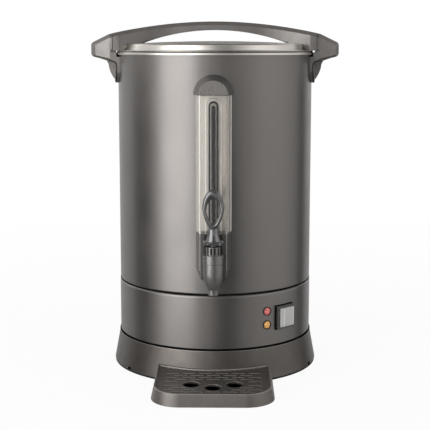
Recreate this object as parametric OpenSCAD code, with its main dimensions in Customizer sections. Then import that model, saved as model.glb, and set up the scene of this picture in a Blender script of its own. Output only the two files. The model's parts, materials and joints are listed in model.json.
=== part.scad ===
// Percolator coffee urn with a lever tap, a sight gauge, a twist-off lid and a drip tray.
// Millimetres. The origin is on the urn's axis at table level, +Z is up and the tap faces -Y.

/* [Body] */
// Outer radius of the painted shell
body_r = 120; // [112:1:135]
// Height of the painted shell, from the seam up to the rim
shell_h = 280.7; // [260:0.1:330]
// Thickness of the shell, skirt and tank sheet
sheet_t = 0.8; // [0.6:0.1:1.2]
// Air gap between the shell and the tank
wall_gap = 9; // [8:0.5:12]
// Width of the turned-in flanges at the seam
flange_w = 8; // [5:0.5:12]
// Bend radius at the edges of the sheet
bend_r = 2; // [1.5:0.1:3]
// Bend radius at the skirt's upper edge
lip_r = 4; // [2:0.1:5]
// How far the rolled rim stands out past the shell
rim_reach = 2.5; // [2:0.1:4]
// Depth of the rolled rim's lip
rim_lip_h = 3; // [2:0.5:5]
// Thickness of the rolled rim's lip
rim_lip_t = 1.4; // [1:0.1:1.8]

/* [Tank] */
// Height of the tank's floor above the seam
floor_rise = 4.3; // [3:0.1:12]
// Radius of the percolator well in the tank's floor
well_r = 30; // [24:1:36]
// Depth of the percolator well
well_h = 8; // [5:0.5:12]

/* [Skirt and base] */
// Height of the skirt that holds the controls
skirt_h = 67; // [58:0.5:85]
// How far the skirt stands out past the shell
skirt_step = 0.5; // [0:0.1:1.5]
// Height of the flared base ring's top
base_h = 39.5; // [32:0.5:50]
// How far the base ring stands out past the shell at its foot
base_flare = 8.3; // [5:0.1:14]
// How far the base ring stands out past the skirt at its top
base_lip = 0.7; // [0.5:0.1:2]
// Wall thickness of the base ring
base_wall = 3; // [2:0.5:4]
// Thickness of the base ring's inner web
web_t = 3; // [2:0.5:5]
// Width of the base ring's inner web
web_w = 20; // [16:1:28]
// Thickness of the bottom plate
plate_t = 1; // [0.8:0.1:2]
// How far the bottom plate laps under the web
plate_lap = 8; // [5:0.5:11]
// Thickness of the rubber foot ring
foot_t = 1.5; // [1:0.1:4]
// Width of the rubber foot ring
foot_w = 12; // [8:0.5:18]
// Width of the notches in the base ring's lower edge
notch_w = 8; // [3:0.5:10]
// Height of the notches in the base ring's lower edge
notch_h = 3.5; // [2:0.5:6]
// Radius of the clamping studs under the tank
stud_r = 2.5; // [2:0.25:4]
// Height of the nuts on the clamping studs
stud_nut_h = 4; // [3:0.5:6]

/* [Lid] */
// Thickness of the seal under the lid
seal_t = 1; // [0.8:0.1:2]
// Thickness of the lid sheet
lid_t = 1; // [0.8:0.1:1.5]
// How far the lid's flange stays inside the rim's edge
lid_inset = 1.2; // [0.8:0.1:3]
// Width of the lid's flange
lid_flange_w = 9; // [6:0.5:12]
// Height of the lid's side band
lid_band_h = 8; // [5:0.5:14]
// Inward lean of the lid's side band
lid_band_lean = 2; // [1:0.5:4]
// Crown of the lid's top
lid_crown = 3.6; // [2:0.1:6]

/* [Lid handle] */
// Height of the arch's top above the lid's crown
arch_rise = 23.9; // [18:0.1:36]
// Radius of the arch's upper curve
arch_top_r = 540; // [480:5:900]
// Radius of the arch's lower curve
arch_under_r = 262; // [230:1:320]
// Thickness of the arch at its middle
arch_t = 10.2; // [8:0.1:14]
// Width of the arch at its middle
arch_w = 26; // [20:1:36]
// Width of the arch's ends
arch_end_w = 66; // [52:1:80]
// Length of the arch's straight ends
arch_end_l = 12; // [5:0.5:14]
// Distance from the middle at which the arch begins to widen
arch_flare_x = 50; // [30:1:60]
// How far the arch's ends stand out past the rim
arch_reach = 5.5; // [4:0.1:8]
// Spacing of the lid screws across the arch
lid_screw_y = 30; // [22:1:40]
// Radius of the lid screws' shanks
lid_screw_r = 2; // [1.5:0.25:2.5]

/* [Side handles] */
// Gap between the lid handle's ends and the side handles
handle_gap = 0.6; // [0.5:0.1:1.5]
// Reach of each side handle past the shell
grip_reach = 31.9; // [28:0.1:45]
// Height of the grip's outer edge
grip_h = 18.5; // [16:0.5:22]
// Depth of the grip's outer edge below the rim
grip_drop = 5.5; // [4.5:0.5:8]
// Radius of the grip's outer edge, seen from the front
tip_r = 5; // [3:0.5:7]
// Slope of the grip's underside
grip_slope = 18.4; // [12:0.1:22]
// Width of the grip at its outer edge
grip_w = 52; // [44:1:64]
// Corner radius of the grip, seen from above
grip_corner = 9; // [6:0.5:14]
// Thickness of the arm that lies along the shell
arm_t = 3.8; // [3:0.1:6]
// Height of the arm below the rim
arm_h = 37; // [34:0.5:48]
// Corner radius of the arm's lower end
arm_corner = 16; // [8:1:24]
// Radius of the hollow between the arm and the grip
arm_hollow_r = 6; // [3:0.5:8]
// Thickness of the gusset under the grip
gusset_w = 22; // [14:1:30]
// How far the gusset stands out from the shell
gusset_reach = 11.6; // [8:0.1:14]
// Radius of the gusset's outer edge
gusset_r = 34; // [30:1:44]
// Radius of the handle screws' shanks
handle_screw_r = 2; // [1.5:0.25:2.5]

/* [Gauge] */
// Height of the guard's lower end above the seam
gauge_rise = 76.2; // [66:0.1:100]
// Length of the clear guard
guard_h = 157.6; // [130:0.1:175]
// Width of the guard where it meets the shell
guard_w = 41.4; // [36:0.2:50]
// Width of the guard's front face
guard_front_w = 30.6; // [26:0.2:36]
// How far the guard stands out from the shell
guard_depth = 23; // [20:0.5:30]
// Wall thickness of the guard
guard_t = 2; // [1.5:0.1:3]
// Radius of the cap where it meets the shell
cap_r = 23.6; // [22:0.1:30]
// Radius of the cap's front face
cap_front_r = 17; // [14:0.1:22]
// Outer radius of the gauge tube
tube_r = 5.9; // [4.5:0.1:7]
// Bore radius of the gauge tube
tube_bore_r = 3.5; // [2.5:0.1:4]
// Gap between the gauge tube's top and the cap
tube_top_gap = 6.8; // [3:0.1:12]
// Radius of the gauge screws' shanks
gauge_screw_r = 1.5; // [1.25:0.25:2]

/* [Tap] */
// Distance from the shell to the tap's axis
tap_reach = 31; // [28:0.5:38]
// Height of the tap's inlet above the seam
inlet_rise = 38.5; // [34:0.5:46]
// Outer radius of the tap's barrel
barrel_r = 11.5; // [10:0.1:13]
// Radius of the valve chamber
chamber_r = 8; // [7:0.1:8.6]
// Height of the barrel's shoulder above the inlet
barrel_top = 5.4; // [4:0.1:9]
// Height of the spigot that the bonnet screws over
spigot_h = 5.6; // [4:0.1:8]
// Depth of the valve seat below the inlet
seat_drop = 9; // [8:0.1:12]
// Outer radius of the spout
spout_r = 6; // [5:0.1:7]
// Bore radius of the spout
spout_bore_r = 4.2; // [3:0.1:4.6]
// Height of the spout's end above the seam
spout_rise = 7.3; // [4:0.1:12]
// Length of the straight part of the spout
spout_len = 6; // [4:0.5:10]
// Height of the barrel's rounded lower end
barrel_taper_h = 20; // [14:0.5:22]
// Outer radius of the inlet shank
shank_r = 8; // [7:0.1:9]
// Bore radius of the inlet shank
shank_bore_r = 5; // [4:0.1:5.6]
// Height of the gauge socket's rim above the inlet
socket_rise = 22; // [18:0.5:24]
// How far the inlet shank reaches inside the tank
shank_in = 14; // [12:0.5:20]
// Height of the bonnet's nut
bonnet_h = 10.3; // [9:0.1:14]
// Height of the bonnet's slotted neck
neck_h = 9.3; // [7:0.1:12]
// Radius of the bonnet's slotted neck
neck_r = 8.5; // [7.5:0.1:9.5]
// Radius of the valve stem
stem_r = 2.5; // [2:0.1:3]
// Radius of the stem's head
head_r = 4; // [3.5:0.1:4.5]
// Thickness of the silicone seat cup
cup_t = 4; // [3:0.5:5]
// Radius of the silicone seat cup
cup_r = 6.5; // [5.5:0.1:7]
// Wire diameter of the tap's spring
wire_d = 1; // [0.7:0.1:1.3]
// Number of turns in the tap's spring
spring_turns = 4; // [3:1:5]
// Wall thickness of the tap's housing
housing_t = 2.5; // [2:0.1:3]
// Height of the housing's narrowing lower end
housing_taper_h = 13; // [10:0.5:16]

/* [Lever] */
// Gap between the bonnet and the lever's collar
lever_gap = 2; // [1.6:0.1:3]
// Height of the lever's pin above its collar's underside
pin_rise = 3.3; // [3:0.1:4]
// Radius of the lever's pin
pin_r = 1.5; // [1.2:0.1:1.8]
// Radius of the lever's collar
collar_r = 11; // [10:0.1:12]
// Height of the lever's collar
collar_h = 4; // [3.5:0.1:5]
// Height of the bell above the lever's collar
bell_h = 15; // [12:0.5:20]
// Radius of the neck between the bell and the loop
lever_neck_r = 5.8; // [4.5:0.1:6.5]
// Height of the lever's loop
loop_h = 44; // [34:0.5:54]
// Width of the lever's loop
loop_w = 24.7; // [20:0.1:30]
// Width of the loop's band at its sides
loop_side_t = 4.6; // [3:0.1:6]
// Width of the loop's band at its top
loop_top_t = 10; // [7:0.5:13]
// Width of the loop's band at its foot
loop_foot_t = 3.4; // [2.5:0.1:6]
// Thickness of the loop from front to back
loop_depth = 7; // [5:0.5:9]

/* [Controls] */
// Angle of the switch from the tap, towards +X
switch_angle = 44.4; // [38:0.1:60]
// Height of the switch's middle above the base ring
switch_rise = 34; // [24:0.5:42]
// Width of the switch's frame
switch_w = 27; // [22:0.5:32]
// Height of the switch's frame
switch_h = 28; // [22:0.5:34]
// How far the switch's frame stands out from the skirt
switch_depth = 4; // [2:0.5:6]
// Width of the switch's frame around the rocker
switch_rim = 3.4; // [1.5:0.1:4]
// Swing of the rocker
rocker_swing = 14; // [8:1:18]
// Wall thickness of the clear boot over the rocker
boot_t = 0.8; // [0.6:0.1:1.2]
// Angle of the lamps from the tap, towards +X
lamp_angle = 31.8; // [20:0.1:33]
// Height of the lower lamp above the base ring
lamp_rise = 27; // [16:0.5:34]
// Spacing of the two lamps
lamp_pitch = 16.6; // [13:0.1:22]
// Radius of the lamps' lenses
lamp_r = 4.8; // [3.5:0.1:6]
// Width of the lamps' collars
lamp_rim = 0.7; // [0.6:0.1:2]

/* [Electrics] */
// Outer radius of the heater plate
heater_r = 76; // [60:1:80]
// Thickness of the heater plate
heater_t = 6; // [5:0.5:8]
// Radius of the heating element's ring
element_ring_r = 56; // [48:1:58]
// Radius of the heating element's tube
element_r = 3.5; // [2.5:0.1:4]
// Radius of the thermostats
thermostat_r = 8; // [6:0.5:10]
// Height of the thermostats
thermostat_h = 11; // [8:0.5:14]
// Radius of the cord gland's bore
gland_bore_r = 4; // [3:0.25:5]
// Radius of the wires
wire_r = 1.2; // [0.9:0.1:1.6]

/* [Brewing] */
// Outer radius of the pump tube
pump_r = 6; // [5:0.25:8]
// Bore radius of the pump tube
pump_bore_r = 5; // [3.5:0.25:5]
// Radius of the pump tube's foot
pump_foot_r = 26; // [18:1:28]
// Height of the pump tube
pump_h = 248; // [215:1:255]
// Height of the basket's floor above the tank's floor
basket_rise = 158; // [120:1:165]
// Outer radius of the basket
basket_r = 84; // [60:1:96]
// Height of the basket
basket_h = 72; // [50:1:76]
// Thickness of the basket's sheet
basket_t = 0.8; // [0.6:0.1:1.2]

/* [Drip tray] */
// Width of the tray at its foot
tray_w = 141; // [120:1:170]
// Reach of the tray's front past the base ring
tray_reach = 84; // [70:1:110]
// Height of the tray
tray_h = 16.5; // [14:0.5:24]
// Inward lean of the tray's walls, from the foot to the top
tray_draft = 3.5; // [1:0.5:5]
// Rise of the tray's top towards the back, for each millimetre
tray_lean = 0.045; // [0:0.005:0.06]
// Radius of the tray's front corners at its foot
tray_corner = 34; // [24:1:44]
// Wall thickness of the tray
tray_wall = 2.5; // [2:0.1:4]
// Width of the ledge that carries the grille
ledge_w = 2; // [1.5:0.1:4]
// Thickness of the grille
grille_t = 3; // [2:0.5:4]
// Depth of the grille below the tray's top
grille_drop = 1.5; // [0.5:0.5:4]
// Radius of the grille's drain holes
drain_r = 9.5; // [6:0.25:10]
// Distance of the outer drain holes from the tray's front
drain_inset = 39; // [32:1:42]
// Distance of the outer drain holes from the middle
drain_x = 24.6; // [22:0.1:30]
// How far the middle drain hole lies in front of the others
drain_step = 10; // [4:0.5:14]
// Length of the grille's slots
slot_l = 14; // [10:0.5:18]
// Width of the grille's slots
slot_w = 2.6; // [2:0.1:4]

/* [Fits] */
// Radial clearance of running fits
fit = 0.05; // [0.03:0.01:0.08]
// Clearance between a fixed piece and the curved wall that it lies on
seat = 0.05; // [0.03:0.01:0.1]
// Clearance between pieces that move past each other
clear = 0.4; // [0.3:0.05:0.6]

/* [Hidden] */
$fn = 160;
eps = 0.5;

paint = [0.40, 0.39, 0.38];
steel = [0.76, 0.74, 0.71];
plastic = [0.42, 0.40, 0.38];
dark_plastic = [0.33, 0.31, 0.30];
black_plastic = [0.10, 0.10, 0.10];
rubber = [0.13, 0.13, 0.13];
clear_plastic = [0.85, 0.87, 0.86];
silicone = [0.75, 0.74, 0.70];

// Heights
seam_z = base_h + skirt_h;
rim_z = seam_z + shell_h;
rim_top = rim_z + sheet_t;
floor_z = seam_z + floor_rise + sheet_t;
well_z = floor_z - well_h;
web_z = base_h - web_t;
lid_z = rim_top + seal_t;
lid_shoulder_z = lid_z + lid_t + lid_band_h;
lid_top_z = lid_shoulder_z + lid_crown;

// Radii
shell_in = body_r - sheet_t;
tank_r = shell_in - wall_gap;
tank_in = tank_r - sheet_t;
skirt_r = body_r + skirt_step;
rim_r = body_r + rim_reach;
base_top_r = skirt_r + base_lip;
base_foot_r = body_r + base_flare;
web_in = base_top_r - web_w;
lid_r = rim_r - lid_inset;
lid_band_r = lid_r - lid_flange_w;
lid_top_r = lid_band_r - lid_band_lean;
arch_end_r = rim_r + arch_reach;
handle_in_r = arch_end_r + handle_gap;

// Points along an arc from angle a0 to a1 about c
function arc(c, r, a0, a1, n = 6) =
    [for (i = [0:n]) c + r * [cos(a0 + (a1 - a0) * i / n), sin(a0 + (a1 - a0) * i / n)]];

// Points round an oval with its middle at c, drawn in towards its foot
function drop(c, rx, ry, pinch, n = 40) = [for (i = [0:n - 1])
    let (a = 360 * i / n, low = max(-sin(a), 0))
        c + [rx * cos(a) * (1 - pinch * low * abs(cos(a))), ry * sin(a)]];

// A ring standing on the XY plane
module ring(r_out, r_in, h) {
    difference() {
        cylinder(r = r_out, h = h);
        translate([0, 0, -eps]) cylinder(r = r_in, h = h + 2 * eps);
    }
}

// A straight bar of a 2D shape whose own axes are X and Z, centred on the XZ plane
module across(w) {
    rotate([90, 0, 0]) linear_extrude(w, center = true) children();
}

// Turns what is made along +Z so that it points along +Y
module along_y() {
    rotate([-90, 0, 0]) children();
}

// Turns what is made along +Z so that it points along +X
module along_x() {
    rotate([0, 90, 0]) children();
}

// Turns what is made at the front round to an angle from the tap, towards +X
module at_angle(a) {
    rotate([0, 0, a]) children();
}

// Front of a cylinder of radius r about the urn's axis, at a distance x to the side
function wall_y(r, x) = sqrt(r * r - x * x);

// Tap and gauge places, measured from the urn's axis and the table
inlet_z = seam_z + inlet_rise;
tap_y = body_r + tap_reach;
gauge_z = seam_z + gauge_rise;
gauge_top_z = gauge_z + guard_h;
guard_y = body_r + guard_depth;

// Fasteners
function head_r(r) = 1.9 * r;
function head_h(r) = 1.2 * r;
handle_screw_z = [rim_top - arm_h * 0.45, rim_top - arm_h * 0.72];
handle_screw_len = arm_t + 2;
gauge_screw_x = cap_front_r / 2;
gauge_screw_z = gauge_top_z + cap_front_r / 2;
gauge_screw_len = guard_depth / 2;
stud_angles = [90, 210, 330];
stud_ring_r = heater_r + 8;
notch_angles = [-55, 67.5];

// A pan-head screw that points along +Z, with its head's underside at z = 0
module screw(r, length) {
    cylinder(r = r, h = length);
    translate([0, 0, -head_h(r)]) cylinder(r = head_r(r), h = head_h(r) + seat);
}

// Puts a screw's head against the inside of the shell, with its shank pointing outwards at the front
module through_shell(r, x, z) {
    translate([x, -wall_y(shell_in, abs(x) + head_r(r)) + seat, z]) rotate([90, 0, 0]) children();
}

// Places of the handle screws, on the +X side
module handle_screw_places() {
    for (z = handle_screw_z) rotate([0, 0, 90]) through_shell(handle_screw_r, 0, z) children();
}

// Places of the gauge cap's screws
module gauge_screw_places() {
    for (x = [-gauge_screw_x, gauge_screw_x]) through_shell(gauge_screw_r, x, gauge_screw_z) children();
}

// Path of the tap's inlet through the shell and the tank
module inlet_path(r) {
    translate([0, -body_r - eps, inlet_z]) along_y() cylinder(r = r, h = body_r - tank_in + 4 * eps + shank_in);
}

// Body

module outer_shell() {
    wall = concat(
        [[body_r - flange_w, seam_z]],
        arc([body_r - bend_r, seam_z + bend_r], bend_r, -90, 0, 4),
        [[body_r, rim_z], [shell_in, rim_z], [shell_in, seam_z + bend_r]],
        [[body_r - bend_r, seam_z + sheet_t], [body_r - flange_w, seam_z + sheet_t]]);
    color(paint) difference() {
        rotate_extrude() polygon(wall);
        inlet_path(shank_r + clear);
        gauge_screw_places() cylinder(r = gauge_screw_r + seat, h = gauge_screw_len);
        for (side = [0, 1]) mirror([side, 0, 0])
            handle_screw_places() cylinder(r = handle_screw_r + seat, h = handle_screw_len);
    }
}

module inner_tank() {
    lip_in = rim_r - rim_lip_t;
    lip_z = rim_top - rim_lip_h;
    round_r = rim_lip_t - 0.2;
    wall = concat(
        [[0, well_z - sheet_t], [well_r + sheet_t, well_z - sheet_t], [well_r + sheet_t, floor_z - sheet_t]],
        [[tank_r, floor_z - sheet_t], [tank_r, rim_z], [lip_in, rim_z], [lip_in, lip_z], [rim_r, lip_z]],
        arc([rim_r - round_r, rim_top - round_r], round_r, 0, 90, 5),
        [[tank_in, rim_top], [tank_in, floor_z], [well_r, floor_z], [well_r, well_z], [0, well_z]]);
    color(steel) difference() {
        rotate_extrude() polygon(wall);
        inlet_path(shank_r + clear);
    }
}

module lower_skirt() {
    skirt_in = skirt_r - sheet_t;
    flange_in = skirt_r - flange_w;
    bend_in = skirt_r - bend_r;
    lip_in = skirt_r - lip_r;
    wall = concat(
        [[flange_in, base_h]],
        arc([bend_in, base_h + bend_r], bend_r, -90, 0, 4),
        arc([lip_in, seam_z - lip_r], lip_r, 0, 90, 6),
        [[flange_in, seam_z], [flange_in, seam_z - sheet_t], [lip_in, seam_z - sheet_t]],
        [[skirt_in, seam_z - lip_r], [skirt_in, base_h + bend_r]],
        [[bend_in, base_h + sheet_t], [flange_in, base_h + sheet_t]]);
    color(paint) difference() {
        rotate_extrude() polygon(wall);
        at_angle(switch_angle)
            switch_block(switch_neck_w + 2 * seat, switch_neck_h + 2 * seat, eps, switch_back);
        for (z = lamp_z) lamp_place(z) cylinder(r = lamp_r + lamp_sleeve + seat, h = lamp_back);
        gland_place() cylinder(r = gland_r + seat, h = gland_in);
    }
}

module base_ring() {
    wall = [
        [base_foot_r, foot_t], [base_top_r, base_h], [web_in, base_h], [web_in, web_z],
        [base_top_r - base_wall, web_z], [base_foot_r - base_wall, foot_t]];
    color(dark_plastic) difference() {
        rotate_extrude() polygon(wall);
        for (a = notch_angles) at_angle(a)
            translate([-notch_w / 2, -base_foot_r - eps, foot_t - eps])
                cube([notch_w, base_wall + 2 * eps, notch_h + eps]);
    }
}

module base_plate() {
    vents = 6;
    vent_l = web_in / 4;
    color(steel) translate([0, 0, web_z - plate_t]) difference() {
        cylinder(r = web_in + plate_lap, h = plate_t);
        for (a = stud_angles) at_angle(a)
            translate([0, -stud_ring_r, -eps]) cylinder(r = stud_r + seat, h = plate_t + 2 * eps);
        for (i = [0:vents - 1]) at_angle(i * 360 / vents)
            translate([-plate_lap / 4, -web_in * 0.4 - vent_l, -eps])
                cube([plate_lap / 2, vent_l, plate_t + 2 * eps]);
    }
}

module foot_ring() {
    color(rubber) ring(base_foot_r - eps, base_foot_r - foot_w, foot_t);
}

module base_studs() {
    bottom_z = web_z - plate_t - stud_nut_h - stud_r;
    color(steel) for (a = stud_angles) at_angle(a)
        translate([0, -stud_ring_r, bottom_z]) cylinder(r = stud_r, h = floor_z - sheet_t - bottom_z);
}

module base_nuts() {
    color(steel) for (a = stud_angles) at_angle(a)
        translate([0, -stud_ring_r, web_z - plate_t - stud_nut_h]) difference() {
            cylinder(r = 1.9 * stud_r, h = stud_nut_h, $fn = 6);
            translate([0, 0, -eps]) cylinder(r = stud_r + seat, h = stud_nut_h + 2 * eps);
        }
}

// Side handles

// Places on the side handles: x from the axis, z from the table
grip_x = body_r + grip_reach;
grip_z = rim_top - grip_drop;
arm_r = body_r + arm_t;
arm_z = rim_top - arm_h;
arch_z = lid_top_z + arch_rise;
function arch_at(x) = arch_z - arch_top_r + sqrt(arch_top_r * arch_top_r - x * x);

// Height of the grip's sloping underside at a distance x from the axis
function under_at(x) =
    grip_z + tip_r * (1 - cos(grip_slope)) - (grip_x - tip_r * (1 - sin(grip_slope)) - x) * tan(grip_slope);

// The grip seen from the front
module grip_outline() {
    polygon(concat(
        [[body_r - eps, under_at(body_r - eps)], [body_r - eps, arch_at(body_r)]],
        [[handle_in_r, arch_at(handle_in_r)]],
        arc([grip_x - tip_r, grip_z + grip_h - tip_r], tip_r, 65, 0, 6),
        arc([grip_x - tip_r, grip_z + tip_r], tip_r, 0, grip_slope - 90, 6)));
}

// The gusset seen from the front
module gusset_outline() {
    end_angle = acos((gusset_r - gusset_reach) / gusset_r);
    mid = [body_r + gusset_reach - gusset_r, arm_z + gusset_r * sin(end_angle)];
    blend_x = body_r + gusset_reach + 2.5;
    polygon(concat(
        [[body_r - eps, grip_z], [blend_x, grip_z], [blend_x, under_at(blend_x) + eps]],
        arc(mid, gusset_r, -5, -end_angle, 8),
        [[body_r - eps, arm_z]]));
}

// The arm along the shell, with a hollow under the grip, between the handle's two sides
module handle_arm() {
    half = arch_end_w / 2;
    hollow_x = arm_r + arm_hollow_r;
    hollow = [hollow_x, under_at(hollow_x) - arm_hollow_r / cos(grip_slope)];
    edge = arc(hollow, arm_hollow_r, 180, 90 + grip_slope, 6);
    plate = concat(
        arc([half - arm_corner, arm_z + arm_corner], arm_corner, 0, -90, 6),
        arc([arm_corner - half, arm_z + arm_corner], arm_corner, -90, -180, 6),
        [[-half, grip_z], [half, grip_z]]);
    intersection() {
        rotate_extrude() polygon(concat(
            [[body_r - eps, arm_z - eps], [arm_r, arm_z - eps]], edge,
            [[edge[len(edge) - 1][0], grip_z + eps], [body_r - eps, grip_z + eps]]));
        rotate([90, 0, 90]) linear_extrude(grip_x) polygon(plate);
    }
}

// The grip seen from above, from the shell to its rounded outer edge
module grip_plan() {
    corner = [grip_x - grip_corner, grip_w / 2 - grip_corner];
    half = arch_end_w / 2;
    outer = arc(corner, grip_corner, 0, 75, 6);
    polygon(concat(
        [[body_r / 2, -half], [handle_in_r, -half]],
        [for (i = [len(outer) - 1:-1:0]) [outer[i][0], -outer[i][1]]],
        outer,
        [[handle_in_r, half], [body_r / 2, half]]));
}

module side_handle() {
    tall = arm_h + grip_h + arch_rise;
    slot_z = rim_top - rim_lip_h - clear;
    color(plastic) difference() {
        union() {
            intersection() {
                across(arch_end_w + 2 * eps) grip_outline();
                translate([0, 0, arm_z - eps]) linear_extrude(tall) grip_plan();
            }
            handle_arm();
            across(gusset_w) gusset_outline();
        }
        translate([0, 0, arm_z - 2 * eps]) cylinder(r = body_r + seat, h = tall + 4 * eps);
        translate([0, 0, slot_z]) cylinder(r = rim_r + clear, h = tall);
        translate([0, 0, lid_z - lid_t]) cylinder(r = handle_in_r + arm_t / 2, h = 3 * lid_t);
        translate([0, 0, lid_z]) cylinder(r = handle_in_r, h = tall);
        handle_screw_places() cylinder(r = handle_screw_r + seat, h = handle_screw_len + arm_t / 2);
    }
}

module side_handle_right() {
    side_handle();
}

module side_handle_left() {
    mirror([1, 0, 0]) side_handle();
}

module side_handle_screws() {
    color(steel) for (side = [0, 1]) mirror([side, 0, 0])
        handle_screw_places() screw(handle_screw_r, handle_screw_len);
}

// Gauge

gauge_back = wall_y(body_r, guard_w / 2);
backplate_t = sheet_t;

// Half the width of the gauge's housing at a distance d in front of the axis
function gauge_half(d) =
    guard_front_w / 2 + (guard_w - guard_front_w) / 2 * (guard_y - d) / (guard_y - gauge_back);

// Section of the gauge's housing seen from above, inset evenly from its sides and its front
module gauge_section(inset) {
    front = guard_y - inset;
    back = gauge_back - 2 * inset;
    polygon([
        [-gauge_half(back) + inset, -back], [gauge_half(back) - inset, -back],
        [gauge_half(front) - inset, -front], [-gauge_half(front) + inset, -front]]);
}

// Clears a piece from the painted shell behind it
module shell_room(z, h) {
    translate([0, 0, z - eps]) cylinder(r = body_r + seat, h = h + 2 * eps);
}

// The upper half of a cone that narrows towards the front
module half_cone(r_back, r_front, y_back, y_front) {
    difference() {
        translate([0, -y_back, gauge_top_z]) rotate([90, 0, 0])
            cylinder(r1 = r_back, r2 = r_front, h = y_front - y_back);
        translate([-2 * r_back, -y_front - eps, gauge_top_z - 2 * r_back])
            cube([4 * r_back, y_front, 2 * r_back]);
    }
}

module gauge_cap() {
    cap_back = wall_y(body_r, cap_r);
    boss_r = 2 * gauge_screw_r;
    color(dark_plastic) difference() {
        half_cone(cap_r, cap_front_r, cap_back, guard_y);
        difference() {
            translate([0, 0, -eps])
                half_cone(cap_r - guard_t, cap_front_r - guard_t, cap_back, guard_y - guard_t);
            gauge_screw_places() cylinder(r = boss_r, h = 2 * guard_depth);
        }
        gauge_screw_places() cylinder(r = gauge_screw_r + seat, h = gauge_screw_len + gauge_screw_r);
        shell_room(gauge_top_z, cap_r);
    }
}

module gauge_guard() {
    color(clear_plastic, 0.35) difference() {
        translate([0, 0, gauge_z]) linear_extrude(guard_h) difference() {
            gauge_section(0);
            gauge_section(guard_t);
        }
        shell_room(gauge_z, guard_h);
    }
}

module gauge_backplate() {
    half = gauge_half(gauge_back) - guard_t - 1;
    r_in = body_r + seat;
    color(steel) intersection() {
        translate([0, 0, gauge_z]) ring(r_in + backplate_t, r_in, guard_h);
        translate([-half, -2 * body_r, gauge_z]) cube([2 * half, 2 * body_r, guard_h]);
    }
}

// Tap places
seat_z = inlet_z - seat_drop;
shoulder_z = inlet_z + barrel_top;
spigot_z = shoulder_z + spigot_h;
spout_z = seam_z + spout_rise;
taper_z = spout_z + spout_len;
bonnet_wall = 1.7;
bonnet_lip = 0.4;
bonnet_r = barrel_r + bonnet_lip;
spigot_r = bonnet_r - bonnet_wall;
bonnet_top_z = shoulder_z + bonnet_h;
neck_z = bonnet_top_z + neck_h;
ceiling_z = spigot_z + 2;
shank_collar_r = shank_r + 2.5;
washer_t = 2.5;
seal_wall = 1.1;
socket_wall = 1.3;
socket_r = tube_r + seal_wall + socket_wall;
socket_z = inlet_z + socket_rise;
socket_floor_z = inlet_z + shank_r + 4;
tube_y = tap_y - bonnet_r - clear - socket_r;

module gauge_tube() {
    z0 = socket_floor_z;
    z1 = gauge_top_z - tube_top_gap - tube_r;
    wall = concat(
        [[tube_bore_r, z0], [tube_r, z0]],
        arc([0, z1], tube_r, 0, 90, 8),
        arc([0, z1 - tube_bore_r], tube_bore_r, 90, 0, 6));
    color(clear_plastic, 0.4) translate([0, -tube_y, 0]) rotate_extrude() polygon(wall);
}

module gauge_seal() {
    color(silicone) translate([0, -tube_y, socket_floor_z])
        ring(tube_r + seal_wall - seat, tube_r + seat, socket_z - socket_floor_z);
}

module gauge_screws() {
    color(steel) gauge_screw_places() screw(gauge_screw_r, gauge_screw_len);
}

// Tap

// Puts what is made about the Z axis on the tap's axis
module on_tap() {
    translate([0, -tap_y, 0]) children();
}

housing_z = taper_z + barrel_taper_h * 0.4;

// The housing seen from the front, inset evenly, with a lower end that narrows to the barrel
module housing_outline(inset) {
    half = guard_w / 2 + eps - inset;
    foot = barrel_r - inset;
    side = [for (i = [0:6]) let (s = i / 6)
        [half - (half - foot) * pow(1 - s, 1.35), housing_z + inset + housing_taper_h * s]];
    polygon(concat(side, [[half, gauge_z - inset], [-half, gauge_z - inset]],
        [for (i = [len(side) - 1:-1:0]) [-side[i][0], side[i][1]]]));
}

module tap_housing() {
    room_z = inlet_z - shank_collar_r - clear;
    color(dark_plastic) difference() {
        intersection() {
            translate([0, 0, housing_z]) linear_extrude(gauge_z - housing_z) gauge_section(0);
            across(3 * guard_y) housing_outline(0);
        }
        intersection() {
            translate([0, 0, room_z]) linear_extrude(gauge_z - housing_t - room_z) gauge_section(housing_t);
            across(3 * guard_y) housing_outline(housing_t);
        }
        shell_room(housing_z, gauge_z - housing_z);
        on_tap() translate([0, 0, housing_z - eps])
            cylinder(r = bonnet_r + clear, h = gauge_z - housing_z + 2 * eps);
        translate([0, -tube_y, gauge_z - 2 * housing_t]) cylinder(r = tube_r + clear, h = 3 * housing_t);
        translate([0, -tap_y, inlet_z]) along_y() cylinder(r = shank_r + clear, h = tap_reach);
    }
}

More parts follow.
